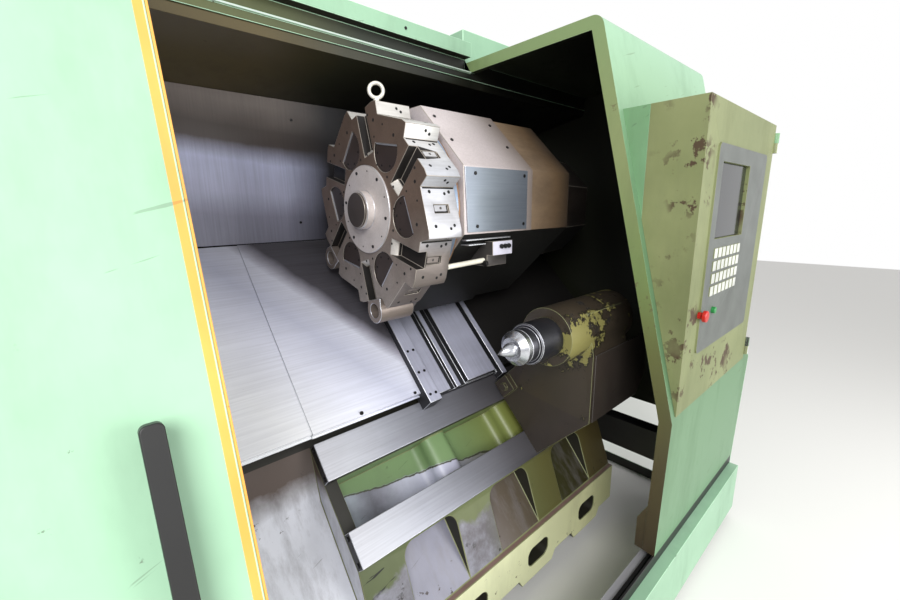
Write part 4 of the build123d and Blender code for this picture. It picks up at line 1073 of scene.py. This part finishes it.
class LATHE_OT_stage(LatheStep):
    """Set the floor, the lamps and the camera"""
    bl_idname = "lathe.stage"
    bl_label = "Stage and camera"

    def execute(self, context):
        settings = context.scene.lathe_stage
        context.scene.view_settings.view_transform = "Standard"
        self.floor()
        self.world(settings.sky)
        fill_share = 0.35
        self.lamp("key_lamp", (-2.6, -3.6, 3.4), (0.2, -0.1, 1.0), 2.4, settings.key_power)
        self.lamp("fill_lamp", (2.4, -4.2, 1.6), (0.3, 0.0, 1.0), 2.0, settings.key_power * fill_share)
        self.camera(settings.lens)
        return {"FINISHED"}

    def floor(self):
        bm = bmesh.new()
        bmesh.ops.create_grid(bm, x_segments=1, y_segments=1, size=14)
        mesh = bpy.data.meshes.new("floor")
        bm.to_mesh(mesh)
        bm.free()
        mesh.materials.append(Look("floor_pale", 0.85).done((225, 224, 221)))
        floor = bpy.data.objects.new("floor", mesh)
        bpy.context.scene.collection.objects.link(floor)

    def world(self, strength):
        """Even light all around, and a white backdrop for the camera, mirrors and glass."""
        world = bpy.data.worlds.new("studio")
        bpy.context.scene.world = world
        world.use_nodes = True
        tree = world.node_tree
        tree.nodes.clear()
        path = tree.nodes.new("ShaderNodeLightPath")
        mix = tree.nodes.new("ShaderNodeMixShader")
        seen = None
        for ray in ("Is Camera Ray", "Is Glossy Ray", "Is Transmission Ray"):
            either = tree.nodes.new("ShaderNodeMath")
            either.operation = "MAXIMUM"
            either.inputs[0].default_value = 0.0
            if seen:
                tree.links.new(seen.outputs[0], either.inputs[0])
            tree.links.new(path.outputs[ray], either.inputs[1])
            seen = either
        tree.links.new(seen.outputs[0], mix.inputs[0])
        for index, level in ((1, strength), (2, 1.0)):
            background = tree.nodes.new("ShaderNodeBackground")
            background.inputs["Strength"].default_value = level
            background.inputs["Color"].default_value = (1, 1, 1, 1)
            tree.links.new(background.outputs[0], mix.inputs[index])
        output = tree.nodes.new("ShaderNodeOutputWorld")
        tree.links.new(mix.outputs[0], output.inputs[0])

    def lamp(self, name, place, target, size, power):
        lamp = bpy.data.lights.new(name, "AREA")
        lamp.size = size
        lamp.energy = power
        obj = bpy.data.objects.new(name, lamp)
        obj.location = place
        obj.rotation_euler = (Vector(target) - Vector(place)).to_track_quat("-Z", "Y").to_euler()
        bpy.context.scene.collection.objects.link(obj)

    def camera(self, lens):
        """Stands the camera where the photo was taken from."""
        yaw, pitch, roll = (math.radians(angle) for angle in CAMERA_ANGLES)
        ahead = Vector((math.sin(yaw) * math.cos(pitch), math.cos(yaw) * math.cos(pitch), -math.sin(pitch)))
        level = Vector((math.cos(yaw), -math.sin(yaw), 0))
        upright = level.cross(ahead)
        right = level * math.cos(roll) + upright * math.sin(roll)
        top = upright * math.cos(roll) - level * math.sin(roll)
        lens_data = bpy.data.cameras.new("photo_camera")
        lens_data.sensor_width = 36
        lens_data.lens = lens
        lens_data.clip_end = 60
        camera = bpy.data.objects.new("photo_camera", lens_data)
        facing = Matrix((right, top, -ahead)).transposed().to_4x4()
        camera.matrix_world = Matrix.Translation(CAMERA_PLACE) @ facing
        bpy.context.scene.collection.objects.link(camera)
        bpy.context.scene.camera = camera


class LATHE_PT_dressing(bpy.types.Panel):
    """Lists the steps that dress the lathe"""
    bl_label = "Turning lathe"
    bl_idname = "LATHE_PT_dressing"
    bl_space_type = "VIEW_3D"
    bl_region_type = "UI"
    bl_category = "Lathe"

    def draw(self, context):
        layout = self.layout
        for group in (context.scene.lathe_paint, context.scene.lathe_fittings, context.scene.lathe_stage):
            for key in group.__annotations__:
                layout.prop(group, key)
        for step in STEPS:
            layout.operator(step.bl_idname)


STEPS = (
    LATHE_OT_enclosure,
    LATHE_OT_bed,
    LATHE_OT_covers,
    LATHE_OT_saddle,
    LATHE_OT_turret_housing,
    LATHE_OT_turret_disc,
    LATHE_OT_tailstock,
    LATHE_OT_headstock,
    LATHE_OT_door,
    LATHE_OT_cabinet,
    LATHE_OT_stage,
)
GROUPS = (
    ("lathe_paint", LATHE_PG_paint),
    ("lathe_fittings", LATHE_PG_fittings),
    ("lathe_stage", LATHE_PG_stage),
)


def register():
    for name, group in GROUPS:
        bpy.utils.register_class(group)
        setattr(bpy.types.Scene, name, bpy.props.PointerProperty(type=group))
    for step in STEPS:
        bpy.utils.register_class(step)
    bpy.utils.register_class(LATHE_PT_dressing)


def unregister():
    bpy.utils.unregister_class(LATHE_PT_dressing)
    for step in reversed(STEPS):
        bpy.utils.unregister_class(step)
    for name, group in reversed(GROUPS):
        delattr(bpy.types.Scene, name)
        bpy.utils.unregister_class(group)


def main():
    register()
    for step in STEPS:
        group, name = step.bl_idname.split(".")
        getattr(getattr(bpy.ops, group), name)()


if __name__ == "__main__":
    main()
